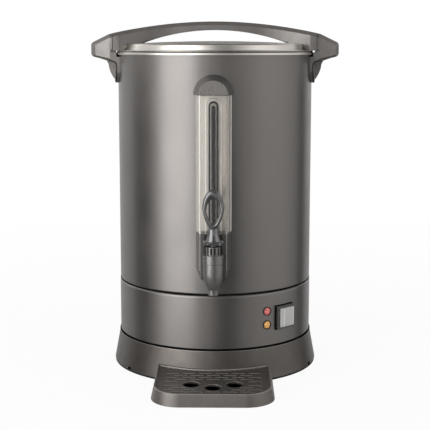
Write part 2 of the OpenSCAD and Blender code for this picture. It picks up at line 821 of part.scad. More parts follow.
module tap_body() {
    taper = [for (i = [0:8]) let (s = i / 8)
        [spout_r + (barrel_r - spout_r) * (1 - pow(1 - s, 2.2)), taper_z + barrel_taper_h * s]];
    outside = concat([[0, spout_z], [spout_r, spout_z]], taper,
        [[barrel_r, shoulder_z], [spigot_r, shoulder_z], [spigot_r, spigot_z], [0, spigot_z]]);
    collar_y = body_r + washer_t + 3 * seat;
    shank_end = tank_in - shank_in;
    color(plastic) difference() {
        union() {
            on_tap() rotate_extrude() polygon(outside);
            difference() {
                translate([0, -tap_y, inlet_z]) along_y() cylinder(r = shank_r, h = tap_y - shank_end);
                on_tap() translate([0, 0, shoulder_z]) cylinder(r = bonnet_r + clear, h = socket_z);
            }
            translate([0, -collar_y - washer_t, inlet_z]) along_y() cylinder(r = shank_collar_r, h = washer_t);
            difference() {
                translate([0, -tube_y, inlet_z]) cylinder(r = socket_r, h = socket_z - inlet_z);
                on_tap() translate([0, 0, shoulder_z]) cylinder(r = bonnet_r + clear, h = socket_z);
                translate([0, 0, inlet_z - eps]) cylinder(r = collar_y, h = socket_z);
            }
        }
        on_tap() translate([0, 0, seat_z]) cylinder(r = chamber_r, h = spigot_z - seat_z + eps);
        on_tap() translate([0, 0, spout_z - eps]) cylinder(r = spout_bore_r, h = seat_z - spout_z + 2 * eps);
        translate([0, -tap_y, inlet_z]) along_y() cylinder(r = shank_bore_r, h = tap_y - shank_end + eps);
        translate([0, -tube_y, inlet_z]) cylinder(r = tube_bore_r, h = socket_z);
        translate([0, -tube_y, socket_floor_z]) cylinder(r = tube_r + seal_wall, h = socket_z);
    }
}

module tap_bonnet() {
    slots = 12;
    slot = 1.8;
    slot_in = stem_r + 3;
    wall = [
        [stem_r + fit, neck_z], [neck_r, neck_z], [neck_r, bonnet_top_z], [bonnet_r, bonnet_top_z],
        [bonnet_r, shoulder_z + seat], [spigot_r + seat, shoulder_z + seat],
        [spigot_r + seat, spigot_z + seat], [chamber_r, spigot_z + seat],
        [chamber_r, ceiling_z], [stem_r + fit, ceiling_z]];
    color(plastic) on_tap() difference() {
        rotate_extrude() polygon(wall);
        for (i = [0:slots - 1]) rotate([0, 0, (i + 0.5) * 360 / slots])
            translate([slot_in, -slot / 2, bonnet_top_z + eps])
                cube([neck_r, slot, neck_h - 1 - eps]);
    }
}

// Stem, spring and seat
collar_t = 1.5;
cup_top_z = seat_z + cup_t;
spring_z = cup_top_z + collar_t;
pin_z = neck_z + lever_gap + pin_rise;
head_z = neck_z + eps;
head_top_z = pin_z + head_r + eps;
stem_foot_z = seat_z + cup_t / 3;

module tap_stem() {
    color(plastic) difference() {
        on_tap() {
            translate([0, 0, stem_foot_z]) cylinder(r = stem_r, h = head_z - stem_foot_z + eps);
            translate([0, 0, cup_top_z]) cylinder(r = cup_r, h = collar_t);
            translate([0, 0, head_z]) cylinder(r = head_r, h = head_top_z - head_z);
        }
        translate([-2 * head_r, -tap_y, pin_z]) along_x() cylinder(r = pin_r + fit, h = 4 * head_r);
    }
}

module seat_cup() {
    color(silicone) on_tap() translate([0, 0, seat_z]) difference() {
        cylinder(r = cup_r, h = cup_t);
        translate([0, 0, stem_foot_z - seat_z]) cylinder(r = stem_r + seat, h = cup_t);
    }
}

// Spring: one unbroken wire, with its first and last half turns closed towards the ends
spring_r = (stem_r + chamber_r) / 2;
spring_h = ceiling_z - spring_z - 2 * seat;
wire_sides = 6;
rings_per_turn = 8;
spring_rings = spring_turns * rings_per_turn;

// Height of the wire's middle after a share s of the spring's length
function spring_rise(s) = wire_d / 2 + (spring_h - wire_d) * s;

function spring_point(i) =
    let (a = 360 * i / rings_per_turn) [spring_r * cos(a), spring_r * sin(a), spring_rise(i / spring_rings)];

function spring_skin() = [
    for (i = [0:spring_rings]) for (k = [0:wire_sides - 1])
        let (a = 360 * i / rings_per_turn, b = 360 * k / wire_sides, r = spring_r + wire_d / 2 * cos(b))
            [r * cos(a), r * sin(a), spring_rise(i / spring_rings) + wire_d / 2 * sin(b)]];

spring_gap = min([for (i = [0:spring_rings - rings_per_turn])
    norm(spring_point(i + rings_per_turn) - spring_point(i)) - wire_d]);

module tap_spring() {
    last = spring_rings * wire_sides;
    sides = [for (i = [0:spring_rings - 1]) for (k = [0:wire_sides - 1])
        let (a = i * wire_sides + k, b = i * wire_sides + (k + 1) % wire_sides)
            each [[a, a + wire_sides, b], [b, a + wire_sides, b + wire_sides]]];
    ends = [for (k = [1:wire_sides - 2]) each [[0, k, k + 1], [last, last + k + 1, last + k]]];
    echo(least_spring_gap = spring_gap);
    color(steel) translate([0, -tap_y, spring_z + seat]) polyhedron(spring_skin(), concat(sides, ends));
}

// A saddle washer on the inlet shank, between two radii about the urn's axis
module saddle_washer(r_in, r_out, washer_r) {
    intersection() {
        translate([0, 0, inlet_z - washer_r]) ring(r_out, r_in, 2 * washer_r);
        translate([0, -2 * body_r, inlet_z]) along_y() difference() {
            cylinder(r = washer_r, h = 2 * body_r);
            translate([0, 0, -eps]) cylinder(r = shank_r + seat, h = 2 * body_r + 2 * eps);
        }
    }
}

module tap_washers() {
    color(silicone) {
        saddle_washer(body_r + seat, body_r + seat + washer_t, shank_collar_r);
        saddle_washer(tank_in - seat - washer_t, tank_in - seat, shank_r + 5);
    }
}

module tap_nut() {
    nut_r = shank_r + 5;
    nut_h = shank_in / 2;
    nut_y = wall_y(tank_in - seat - washer_t, nut_r) - seat;
    color(steel) translate([0, -nut_y, inlet_z]) along_y() difference() {
        cylinder(r = nut_r, h = nut_h, $fn = 6);
        translate([0, 0, -eps]) cylinder(r = shank_r + seat, h = nut_h + 2 * eps);
    }
}

// Lever

lever_z = neck_z + lever_gap;
bell_z = lever_z + collar_h;
loop_z = bell_z + bell_h - 1;
loop_mid_z = loop_z + loop_h / 2;
loop_hole_h = loop_h - loop_top_t - loop_foot_t;

module lever_loop() {
    hole_z = loop_z + loop_foot_t + loop_hole_h / 2;
    difference() {
        polygon(drop([0, loop_mid_z], loop_w / 2, loop_h / 2, 0.22));
        polygon(drop([0, hole_z], loop_w / 2 - loop_side_t, loop_hole_h / 2, 0.45));
    }
}

// Trims the collar, from y0 backwards and up to a height, to a radius about the lever's pin
module lever_trim(r, y0, h) {
    translate([0, -tap_y, 0]) difference() {
        translate([-2 * collar_r, y0, lever_z - eps]) cube([4 * collar_r, 4 * collar_r, h + eps]);
        translate([-3 * collar_r, 0, pin_z]) along_x() cylinder(r = r, h = 6 * collar_r);
    }
}

module tap_lever() {
    bell_foot_r = collar_r - 1.6;
    cam_r = 9;
    heel_r = 8;
    cheek = head_r + clear;
    wall = 2;
    bell = [for (i = [0:6]) let (s = i / 6)
        [lever_neck_r + (bell_foot_r - lever_neck_r) * pow(1 - s, 2), bell_z + bell_h * s]];
    room_h = head_top_z + head_r / 2 - lever_z;
    color(black_plastic) difference() {
        on_tap() {
            rotate_extrude() polygon(concat([[0, lever_z], [collar_r, lever_z], [collar_r, bell_z]],
                bell, [[0, bell_z + bell_h]]));
            across(loop_depth) lever_loop();
        }
        lever_trim(cam_r, -2 * collar_r, pin_rise);
        lever_trim(heel_r, 0, pin_rise + heel_r / 2);
        intersection() {
            translate([-cheek, -tap_y - cam_r, pin_z - wall]) cube([2 * cheek, cam_r + eps, room_h]);
            translate([-2 * cheek, -tap_y, pin_z]) along_x() cylinder(r = cam_r - wall, h = 4 * cheek);
        }
        translate([-cheek, -tap_y - cam_r + 0.9 * wall, lever_z - eps]) cube([2 * cheek, cam_r, pin_rise + eps]);
        translate([-cheek, -tap_y, lever_z - eps]) cube([2 * cheek, 2 * cam_r, room_h + eps]);
        translate([-2 * collar_r, -tap_y, pin_z]) along_x() cylinder(r = pin_r + seat / 2, h = 4 * collar_r);
    }
}

module lever_pin() {
    length = 2 * collar_r + 1;
    color(steel) translate([-length / 2, -tap_y, pin_z]) along_x() cylinder(r = pin_r, h = length);
}

// Electrics

heater_z = floor_z - sheet_t - heater_t;
element_gap = 40;
element_leg = 16;
leg_x = element_ring_r * sin(element_gap / 2);
leg_y = element_ring_r * cos(element_gap / 2);
thermostat_ring_r = (well_r + element_ring_r) / 2;
terminal_h = 16;
terminal_end = 6;

module heater_plate() {
    color(steel) difference() {
        translate([0, 0, heater_z]) ring(heater_r, well_r + sheet_t + clear, heater_t);
        rotate_extrude() translate([element_ring_r, heater_z]) circle(r = element_r + seat);
    }
}

module heating_element() {
    leg_r = 0.7 * element_r;
    color(steel) {
        translate([0, 0, heater_z]) rotate([0, 0, 90 + element_gap / 2])
            rotate_extrude(angle = 360 - element_gap) translate([element_ring_r, 0]) circle(r = element_r);
        for (x = [-leg_x, leg_x])
            translate([x, leg_y, heater_z - element_leg]) cylinder(r = leg_r, h = element_leg);
    }
}

// A disc thermostat against the heater plate, with two spade tabs
module thermostat(angle) {
    tab = thermostat_r / 2;
    color(black_plastic) at_angle(angle) translate([0, -thermostat_ring_r, heater_z - thermostat_h]) {
        cylinder(r = thermostat_r, h = thermostat_h);
        for (x = [-tab, tab]) translate([x - tab / 4, -tab / 2, -tab]) cube([tab / 2, tab, tab + eps]);
    }
}

module brew_thermostat() {
    thermostat(250);
}

module thermal_cutout() {
    thermostat(110);
}

module terminal_block() {
    half = leg_x + terminal_end;
    depth = 2.5 * terminal_end;
    divider = leg_x / 2;
    color(silicone) translate([0, leg_y, web_z]) difference() {
        translate([-half, -depth / 2, 0]) cube([2 * half, depth, terminal_h]);
        for (i = [-1.5:1:1.5]) translate([i * divider - 1, -depth, terminal_h / 2])
            cube([2, 2 * depth, terminal_h]);
    }
}

// A straight length of wire between two points
module wire_run(p, q) {
    v = q - p;
    length = norm(v);
    translate(p) rotate([0, acos(v[2] / length), atan2(v[1], v[0])]) cylinder(r = wire_r, h = length);
}

// A wire from the terminal block, up to a height and across to the back of a control
module control_wire(x, angle, z, r_end) {
    out = [sin(angle), -cos(angle), 0];
    up = [0, 0, z];
    points = [[x, leg_y, web_z + terminal_h], [x, leg_y, z], up + out * (r_end - 8), up + out * r_end];
    for (i = [0:2]) wire_run(points[i], points[i + 1]);
    for (i = [1, 2]) translate(points[i]) rotate([35, 50, 0]) sphere(r = 1.35 * wire_r);
}

module wiring() {
    color(black_plastic) {
        for (x = [-leg_x, leg_x])
            wire_run([x, leg_y, web_z + terminal_h], [x, leg_y, heater_z - element_leg]);
        control_wire(leg_x / 2, switch_angle, switch_z, skirt_r - switch_back);
        control_wire(leg_x / 12, lamp_angle, lamp_z[0], skirt_r + lamp_out - lamp_len);
        control_wire(-leg_x / 2, lamp_angle, lamp_z[1], skirt_r + lamp_out - lamp_len);
    }
}

// Controls

switch_z = base_h + switch_rise;
switch_lap = 1.2;
switch_back = 20;
switch_floor = 2;
switch_neck_w = switch_w - 2 * switch_lap;
switch_neck_h = switch_h - 2 * switch_lap;
switch_open_w = switch_w - 2 * switch_rim;
switch_open_h = switch_h - 2 * switch_rim;
pivot_in = 1;
pivot_r = 1.2;
pivot_stub = 0.6;
rocker_face = switch_depth + pivot_in - 1;
rocker_end_r = switch_open_h / 2 - clear;
rocker_reach = rocker_face + rocker_end_r * sin(rocker_swing);
lamp_z = [base_h + lamp_rise, base_h + lamp_rise + lamp_pitch];
lamp_out = 1.8;
lamp_len = 14;
lamp_sleeve = 0.5;
lamp_back = 20;
gland_z = base_h + skirt_h / 3;
gland_nose = 16;
gland_flange = 3;
gland_r = 2 * gland_bore_r;
gland_thread = 14;
gland_in = gland_nose + gland_thread;

// Clears a piece from the skirt behind it
module skirt_room() {
    translate([0, 0, base_h]) cylinder(r = skirt_r + seat, h = skirt_h);
}

// A box at the front of the skirt, from a distance out in front of it to a distance behind it
module switch_block(w, h, out, back) {
    translate([-w / 2, -skirt_r - out, switch_z - h / 2]) cube([w, out + back, h]);
}

module switch_frame() {
    color(black_plastic) at_angle(switch_angle) difference() {
        union() {
            difference() {
                switch_block(switch_w, switch_h, switch_depth, switch_floor);
                skirt_room();
            }
            switch_block(switch_neck_w, switch_neck_h, switch_depth - eps, switch_back);
        }
        switch_block(switch_open_w, switch_open_h, switch_depth + eps, switch_back - switch_floor);
        on_pivot() along_x()
            cylinder(r = pivot_r + fit, h = switch_open_w + 2 * (pivot_stub + fit), center = true);
    }
}

// Puts what is made about the origin on the rocker's pivot
module on_pivot() {
    translate([0, -skirt_r + pivot_in, switch_z]) children();
}

module switch_rocker() {
    tip = rocker_face + rocker_end_r * tan(rocker_swing / 2);
    back = rocker_end_r / 3;
    w = switch_open_w - 2 * clear;
    profile = [
        [back, -back], [-1, -rocker_end_r], [-tip, -rocker_end_r], [-rocker_face, 0],
        [-tip, rocker_end_r], [-1, rocker_end_r], [back, back]];
    color(clear_plastic) at_angle(switch_angle) on_pivot() rotate([rocker_swing / 2, 0, 0]) {
        intersection() {
            rotate([90, 0, 90]) linear_extrude(w, center = true) polygon(profile);
            along_x() cylinder(r = rocker_end_r, h = w + eps, center = true);
        }
        along_x() cylinder(r = pivot_r, h = switch_open_w + 2 * pivot_stub, center = true);
    }
}

module switch_boot() {
    room = rocker_reach - pivot_in + clear;
    color(clear_plastic, 0.5) at_angle(switch_angle) difference() {
        switch_block(switch_open_w + 2 * boot_t, switch_open_h + 2 * boot_t, room + boot_t, -switch_depth);
        switch_block(switch_open_w, switch_open_h, room, eps);
    }
}

// Puts what is made along +Z on a lamp's axis, pointing into the skirt from the lens's front
module lamp_place(z) {
    at_angle(lamp_angle) translate([0, -skirt_r - lamp_out, z]) along_y() children();
}

module lamp_collars() {
    proud = lamp_out - 1;
    color(black_plastic) for (z = lamp_z) difference() {
        union() {
            difference() {
                lamp_place(z) translate([0, 0, proud]) cylinder(r = lamp_r + lamp_rim, h = lamp_out);
                skirt_room();
            }
            lamp_place(z) translate([0, 0, proud]) cylinder(r = lamp_r + lamp_sleeve, h = lamp_len / 2);
        }
        lamp_place(z) cylinder(r = lamp_r + seat, h = lamp_len);
    }
}

module lamp_lens(z) {
    dome = [for (p = arc([0, 0], 1, -90, 0, 6)) [lamp_r * p[0], lamp_out * (1 + p[1]) / 2]];
    lamp_place(z) rotate_extrude() polygon(concat(dome, [[lamp_r, lamp_len], [0, lamp_len]]));
}

module red_lamp() {
    color([0.78, 0.30, 0.28]) lamp_lens(lamp_z[1]);
}

module amber_lamp() {
    color([0.86, 0.62, 0.28]) lamp_lens(lamp_z[0]);
}

// Puts what is made along +Z on the gland's axis at the back, pointing into the skirt
module gland_place() {
    at_angle(180) translate([0, -skirt_r - gland_nose, gland_z]) along_y() children();
}

module cord_gland() {
    color(black_plastic) difference() {
        union() {
            gland_place() cylinder(r1 = 1.6 * gland_bore_r, r2 = gland_r, h = gland_nose);
            difference() {
                gland_place() translate([0, 0, gland_nose - gland_flange])
                    cylinder(r = gland_r + gland_flange, h = 2 * gland_flange);
                skirt_room();
            }
            gland_place() translate([0, 0, gland_nose - eps]) cylinder(r = gland_r, h = gland_in - gland_nose);
        }
        gland_place() translate([0, 0, -eps]) cylinder(r = gland_bore_r, h = gland_in + 2 * eps);
    }
}

module gland_nut() {
    nut_r = gland_r + gland_flange;
    start = gland_nose + skirt_r - wall_y(skirt_r - sheet_t, nut_r) + seat;
    color(black_plastic) gland_place() translate([0, 0, start]) difference() {
        cylinder(r = nut_r, h = gland_flange + 2, $fn = 6);
        translate([0, 0, -eps]) cylinder(r = gland_r + seat, h = gland_flange + 2 + 2 * eps);
    }
}

// Lid

// Height of the lid's upper face at a distance r from the axis
function lid_at(r) = lid_shoulder_z + lid_crown * (1 - pow(r / lid_top_r, 2));

lid_outside = concat(
    [[lid_r, lid_z], [lid_r, lid_z + lid_t], [lid_band_r, lid_z + lid_t]],
    [for (i = [0:6]) let (r = lid_top_r * (1 - i / 6)) [r, lid_at(r)]]);
lid_inside = concat(
    [for (i = [6:-1:0]) let (r = (lid_top_r - lid_t) * (1 - i / 6)) [r, lid_at(r) - lid_t]],
    [[lid_band_r - lid_t, lid_z]]);
lid_screw_x = lid_top_r - 12;
lid_screw_len = 10;

module lid_seal() {
    color(rubber) translate([0, 0, rim_top]) ring(lid_r - eps, lid_band_r - eps, seal_t);
}

// Places of the lid screws, pointing up with their heads against the lid's inside
module lid_screw_places() {
    for (x = [-lid_screw_x, lid_screw_x]) for (y = [-lid_screw_y / 2, lid_screw_y / 2])
        translate([x, y, lid_at(norm([x, y]) + head_r(lid_screw_r)) - lid_t - 2 * seat]) children();
}

module lid_dish() {
    color(steel) difference() {
        rotate_extrude() polygon(concat(lid_outside, lid_inside));
        lid_screw_places() cylinder(r = lid_screw_r + clear / 2, h = lid_screw_len);
    }
}

module lid_handle() {
    end_x = arch_end_r - arch_end_l;
    flare_r = (pow(end_x - arch_flare_x, 2) + pow((arch_end_w - arch_w) / 2, 2)) / (arch_end_w - arch_w);
    low_z = lid_z + lid_t + seat;
    color(plastic) difference() {
        intersection() {
            across(arch_end_w) difference() {
                intersection() {
                    translate([0, arch_z - arch_top_r]) circle(r = arch_top_r);
                    translate([-arch_end_r, low_z]) square([2 * arch_end_r, arch_z]);
                }
                translate([0, arch_z - arch_t - arch_under_r]) circle(r = arch_under_r);
            }
            translate([0, 0, low_z - eps]) linear_extrude(arch_z - low_z + 2 * eps) difference() {
                circle(r = arch_end_r);
                for (side = [0, 1]) mirror([0, side]) translate([0, arch_w / 2]) intersection() {
                    union() {
                        for (x = [-arch_flare_x, arch_flare_x]) translate([x, flare_r]) circle(r = flare_r);
                        translate([-arch_flare_x, 0]) square([2 * arch_flare_x, arch_end_w]);
                    }
                    translate([-end_x, -eps]) square([2 * end_x, arch_end_w]);
                }
            }
        }
        translate([0, 0, seat]) rotate_extrude() polygon(concat(lid_outside, [[0, lid_z]]));
        translate([0, 0, low_z - eps]) cylinder(r = lid_band_r + clear, h = lid_band_h / 2);
        lid_screw_places() cylinder(r = lid_screw_r + seat, h = lid_screw_len + lid_screw_r);
    }
}

module lid_screws() {
    color(steel) lid_screw_places() screw(lid_screw_r, lid_screw_len);
}

// Brewing

pump_z = well_z + clear;
basket_z = floor_z + basket_rise;
basket_top_z = basket_z + basket_h;
sleeve_in = pump_r + clear;

module pump_tube() {
    bell = 10;
    step = 2;
    top = pump_z + pump_h;
    wall = [
        [pump_foot_r, pump_z], [pump_foot_r, pump_z + step], [pump_r, pump_z + step + bell], [pump_r, top],
        [pump_bore_r, top], [pump_bore_r, pump_z + bell], [pump_foot_r - step, pump_z]];
    color(steel) {
        rotate_extrude() polygon(wall);
        translate([0, 0, basket_z - step]) ring(pump_r + 2 * step, pump_bore_r, step);
    }
}

module brew_basket() {
    sleeve_top = basket_top_z - basket_h / 10;
    slots = 16;
    slot_in = basket_r / 3;
    slot_out = basket_r - 6;
    color(steel) difference() {
        union() {
            translate([0, 0, basket_z]) ring(basket_r, sleeve_in, basket_t);
            translate([0, 0, basket_z]) ring(basket_r, basket_r - basket_t, basket_h);
            translate([0, 0, basket_z]) ring(sleeve_in + basket_t, sleeve_in, sleeve_top - basket_z);
        }
        for (i = [0:slots - 1]) rotate([0, 0, (i + 0.5) * 360 / slots])
            translate([slot_in, -basket_t, basket_z - eps])
                cube([slot_out - slot_in, 2 * basket_t, basket_t + 2 * eps]);
    }
}

module basket_cover() {
    lip_h = 2.4;
    slots = 12;
    slot_in = basket_r / 4;
    slot_l = basket_r / 2;
    lip_in = basket_r + clear;
    color(steel) difference() {
        union() {
            translate([0, 0, basket_top_z]) ring(lip_in + basket_t, sleeve_in, basket_t);
            translate([0, 0, basket_top_z - lip_h]) ring(lip_in + basket_t, lip_in, lip_h + eps);
        }
        for (i = [0:slots - 1]) rotate([0, 0, (i + 0.5) * 360 / slots])
            translate([slot_in, -basket_t, basket_top_z - eps])
                cube([slot_l, 2 * basket_t, basket_t + 2 * eps]);
    }
}

// Drip tray

tray_lift = 0.3;
tray_floor = 2;
tray_front = base_foot_r + tray_reach;
corner_x = tray_w / 2 - tray_corner;
corner_y = tray_front - tray_corner;
grille_z = tray_h - grille_drop - grille_t;
grille_inset = tray_wall + clear;
drain_y = tray_front - drain_inset;
drains = [[-drain_x, -drain_y], [0, -drain_y - drain_step], [drain_x, -drain_y]];

// How far the leaning walls have come in at a height z, with a further inset
function tray_in(z, inset) = inset + tray_draft * z / tray_h;

// The tray's outline between two heights, with leaning walls and round front corners
module tray_form(inset, z0, z1) {
    in0 = tray_in(z0, inset);
    in1 = tray_in(z1, inset);
    half = tray_w / 2;
    hull() {
        for (side = [-1, 1]) translate([side * corner_x, -corner_y, z0])
            cylinder(r1 = tray_corner - in0, r2 = tray_corner - in1, h = z1 - z0, $fn = 64);
        translate([0, -base_foot_r / 2, 0]) across(eps)
            polygon([[in0 - half, z0], [half - in0, z0], [half - in1, z1], [in1 - half, z1]]);
    }
}

// Clears a piece from the flared base ring behind it
module base_room(gap) {
    slope = (base_foot_r - base_top_r) / (base_h - foot_t);
    rotate_extrude() polygon([
        [0, -tray_h], [base_foot_r + gap + slope * (tray_h + foot_t), -tray_h],
        [base_top_r + gap, base_h], [0, base_h]]);
}

// Tilts a form about the row of drain holes, so that it rises towards the back
module leaned() {
    multmatrix([[1, 0, 0, 0], [0, 1, 0, 0], [0, tray_lean, 1, tray_lean * drain_y], [0, 0, 0, 1]]) children();
}

module drip_tray() {
    tall = tray_h + tray_lean * drain_y;
    color(dark_plastic) difference() {
        tray_form(0, tray_lift, tall);
        base_room(clear);
        leaned() translate([-tray_w, -2 * tray_front, tray_h]) cube([2 * tray_w, 2 * tray_front, tray_h]);
        difference() {
            leaned() tray_form(tray_wall, grille_z, tall);
            base_room(clear + tray_wall);
        }
        difference() {
            tray_form(tray_wall + ledge_w, tray_lift + tray_floor, tray_h);
            base_room(clear + tray_wall + ledge_w);
        }
    }
}

// True where a slot with its middle at (x, y) keeps a margin to the grille's edges and drain holes
function slot_fits(x, y) =
    let (
        margin = 3,
        edge = tray_in(tray_h, grille_inset) + margin,
        far_x = abs(x) + slot_l / 2,
        near_x = max(abs(x) - slot_l / 2, 0),
        round_x = max(far_x - corner_x, 0),
        round_y = max(-y + slot_w / 2 - corner_y, 0),
        hole_gap = min([for (d = drains)
            norm([max(abs(x - d[0]) - slot_l / 2, 0), max(abs(y - d[1]) - slot_w / 2, 0)])])
    )
    norm([round_x, round_y]) < tray_corner - edge
    && norm([near_x, -y - slot_w / 2]) > base_foot_r + 2 * clear + tray_wall + margin
    && hole_gap > drain_r + slot_w / 2;

module drip_grille() {
    row_pitch = 2.6 * slot_w;
    slot_pitch = slot_l + 2 * slot_w;
    rows = floor((tray_front - base_foot_r / 2) / row_pitch);
    cols = ceil(tray_w / slot_pitch / 2);
    places = [for (j = [0:rows]) for (i = [-cols:cols])
        [(i + (j % 2) / 2) * slot_pitch, -tray_front + j * row_pitch]];
    color(dark_plastic) difference() {
        leaned() difference() {
            tray_form(grille_inset, grille_z, grille_z + grille_t);
            for (p = places) if (slot_fits(p[0], p[1]))
                translate([p[0] - slot_l / 2, p[1] - slot_w / 2, grille_z - eps])
                    cube([slot_l, slot_w, grille_t + 2 * eps]);
        }
        base_room(clear + grille_inset);
        for (d = drains) translate([d[0], d[1], grille_z - grille_t]) cylinder(r = drain_r, h = 3 * grille_t);
    }
}

outer_shell();
inner_tank();
lower_skirt();
base_ring();
base_plate();
foot_ring();
base_studs();
base_nuts();
side_handle_left();
side_handle_right();
side_handle_screws();
gauge_cap();
gauge_guard();
gauge_backplate();
gauge_tube();
gauge_seal();
gauge_screws();
tap_housing();
tap_body();
tap_bonnet();
tap_spring();
tap_washers();
tap_nut();
heater_plate();
heating_element();
brew_thermostat();
thermal_cutout();
terminal_block();
wiring();
switch_frame();
switch_boot();
lamp_collars();
red_lamp();
amber_lamp();
cord_gland();
gland_nut();
lid_seal();
lid_dish();
lid_handle();
lid_screws();
brew_basket();
pump_tube();
basket_cover();
tap_stem();
seat_cup();
tap_lever();
lever_pin();
switch_rocker();
drip_tray();
drip_grille();
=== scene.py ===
# Percolator coffee urn: finishes, rounded edges and moulded detail over its CAD frame.
# Metres. The origin is on the urn's axis at table level, +Z is up and the tap faces -Y.
import json
from math import cos, pi, radians, sin, tan

import bmesh
import bpy
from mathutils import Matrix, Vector

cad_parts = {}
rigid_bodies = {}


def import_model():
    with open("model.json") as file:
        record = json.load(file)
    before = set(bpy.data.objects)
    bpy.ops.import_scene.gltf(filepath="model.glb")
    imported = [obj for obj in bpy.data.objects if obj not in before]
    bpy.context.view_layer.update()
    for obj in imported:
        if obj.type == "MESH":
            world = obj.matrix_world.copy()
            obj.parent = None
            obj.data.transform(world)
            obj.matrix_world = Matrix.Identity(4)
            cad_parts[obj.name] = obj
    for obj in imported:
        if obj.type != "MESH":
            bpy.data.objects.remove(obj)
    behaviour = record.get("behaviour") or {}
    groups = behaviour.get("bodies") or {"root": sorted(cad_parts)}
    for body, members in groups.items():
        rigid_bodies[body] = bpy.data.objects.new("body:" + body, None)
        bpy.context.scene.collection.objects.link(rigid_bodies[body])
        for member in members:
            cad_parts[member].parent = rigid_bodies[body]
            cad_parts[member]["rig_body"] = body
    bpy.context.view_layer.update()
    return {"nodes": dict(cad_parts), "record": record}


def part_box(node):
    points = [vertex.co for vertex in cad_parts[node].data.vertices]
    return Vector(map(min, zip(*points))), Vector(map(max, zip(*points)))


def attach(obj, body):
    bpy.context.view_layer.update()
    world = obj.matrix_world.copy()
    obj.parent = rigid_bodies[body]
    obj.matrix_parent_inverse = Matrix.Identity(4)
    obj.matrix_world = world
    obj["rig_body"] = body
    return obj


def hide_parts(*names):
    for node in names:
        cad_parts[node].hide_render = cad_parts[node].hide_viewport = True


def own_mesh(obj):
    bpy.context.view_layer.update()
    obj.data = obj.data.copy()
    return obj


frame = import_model()
nodes = frame["nodes"]
scene = bpy.context.scene
MM = 0.001


def low(node):
    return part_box(node)[0]


def high(node):
    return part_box(node)[1]


def middle(node):
    return (low(node) + high(node)) / 2


# Places that the frame gives
BODY_R = high("outer_shell").x
SEAM_Z = low("outer_shell").z
SKIRT_R = high("lower_skirt").x
TAP = middle("lever_pin")
TUBE = middle("gauge_tube")
OBJECT_MID_Z = high("lid_handle").z / 2

# Camera, floor and lights

# Angles are in degrees, and the lens and the sensor in millimetres
CAMERA_REACH = 1.3632
CAMERA_Z = 0.3904
CAMERA_PITCH = 81.364
CAMERA_YAW = 0.8
CAMERA_LENS = 90.8
SENSOR_W = 36
FLOOR_R = 4.0
FLOOR_STEPS = 64
# Dark panels that shape the reflections: azimuth from the tap, distance, width and the heights of both ends
FLAGS = [
    (13, 1.42, 0.7, -0.9, 0.24), (11, 1.2, 0.62, 0.5, 1.1), (-90, 1.1, 0.58, -0.9, 0.34),
    (120, 1.1, 0.36, -0.9, 0.42), (180, 1.0, 0.8, 0.44, 0.9),
]
# Soft boxes: azimuth from the tap, distance, height of the middle, width, height and radiance
BOXES = {
    "key_box": (-42, 1.55, 0.5, 1.25, 1.7, 3.0),
    "fill_box": (66, 1.9, 1.05, 1.3, 1.2, 0.6),
    "front_box": (-7, 1.2, 0.3, 0.25, 1.3, 0.3),
    "side_box": (70, 1.9, -0.05, 1.7, 0.95, 0.25),
    "rim_box": (-125, 1.6, 1.0, 0.7, 0.8, 1.0),
    "back_box": (170, 1.9, 1.05, 1.5, 1.0, 0.8),
}
TOP_BOX_Y = -0.1
TOP_BOX_Z = 1.9
TOP_BOX_SIZE = 1.6
TOP_BOX_RADIANCE = 0.75
AMBIENT = 0.5
# What reflections see at heights of their direction: dark ground, white walls and a dim ceiling
MIRROR_STRENGTHS = [(-0.8, 0.12), (-0.35, 0.55), (0, 1), (0.45, 1), (0.85, 0.15)]
AMBIENT_COLOR = (1, 0.99, 0.975, 1)
FLAG_COLOR = (0.02, 0.02, 0.02, 1)
FLOOR_COLOR = (0.80, 0.795, 0.785, 1)
# Share of the floor that shows as plain white to the camera; the rest keeps the shadow
FLOOR_WHITE = 0.93
# Distance from the axis at which the floor begins to fade to white, and where it has
FLOOR_FADE = (0.3, 1.3)


def add_camera():
    data = bpy.data.cameras.new("camera")
    data.lens = CAMERA_LENS
    data.sensor_width = SENSOR_W
    camera = bpy.data.objects.new("camera", data)
    camera.location = around(CAMERA_YAW, CAMERA_REACH, CAMERA_Z)
    camera.rotation_euler = (radians(CAMERA_PITCH), 0, radians(CAMERA_YAW))
    scene.collection.objects.link(camera)
    scene.camera = camera


def around(azimuth, distance, z):
    """A point at an azimuth from the tap, towards +X, and a distance from the urn's axis."""
    a = radians(azimuth)
    return Vector((distance * sin(a), -distance * cos(a), z))


def area_light(name, at, towards, width, height, radiance):
    data = bpy.data.lights.new(name, "AREA")
    data.shape = "RECTANGLE"
    data.size = width
    data.size_y = height
    data.energy = radiance * pi * width * height
    light = bpy.data.objects.new(name, data)
    light.location = at
    light.rotation_euler = (towards - at).to_track_quat("-Z", "Y").to_euler()
    scene.collection.objects.link(light)
    light.visible_camera = False
    return light


def add_lights():
    aim = Vector((0, 0, OBJECT_MID_Z))
    for name, (azimuth, distance, z, width, height, radiance) in BOXES.items():
        area_light(name, around(azimuth, distance, z), aim, width, height, radiance)
    top_box = area_light(
        "top_box", Vector((0, TOP_BOX_Y, TOP_BOX_Z)), aim, TOP_BOX_SIZE, TOP_BOX_SIZE, TOP_BOX_RADIANCE)
    top_box.visible_glossy = False


def stage_mesh(name, corners, material):
    mesh = bpy.data.meshes.new(name)
    mesh.from_pydata(corners, [], [tuple(range(len(corners)))])
    mesh.materials.append(material)
    obj = bpy.data.objects.new(name, mesh)
    scene.collection.objects.link(obj)
    return obj


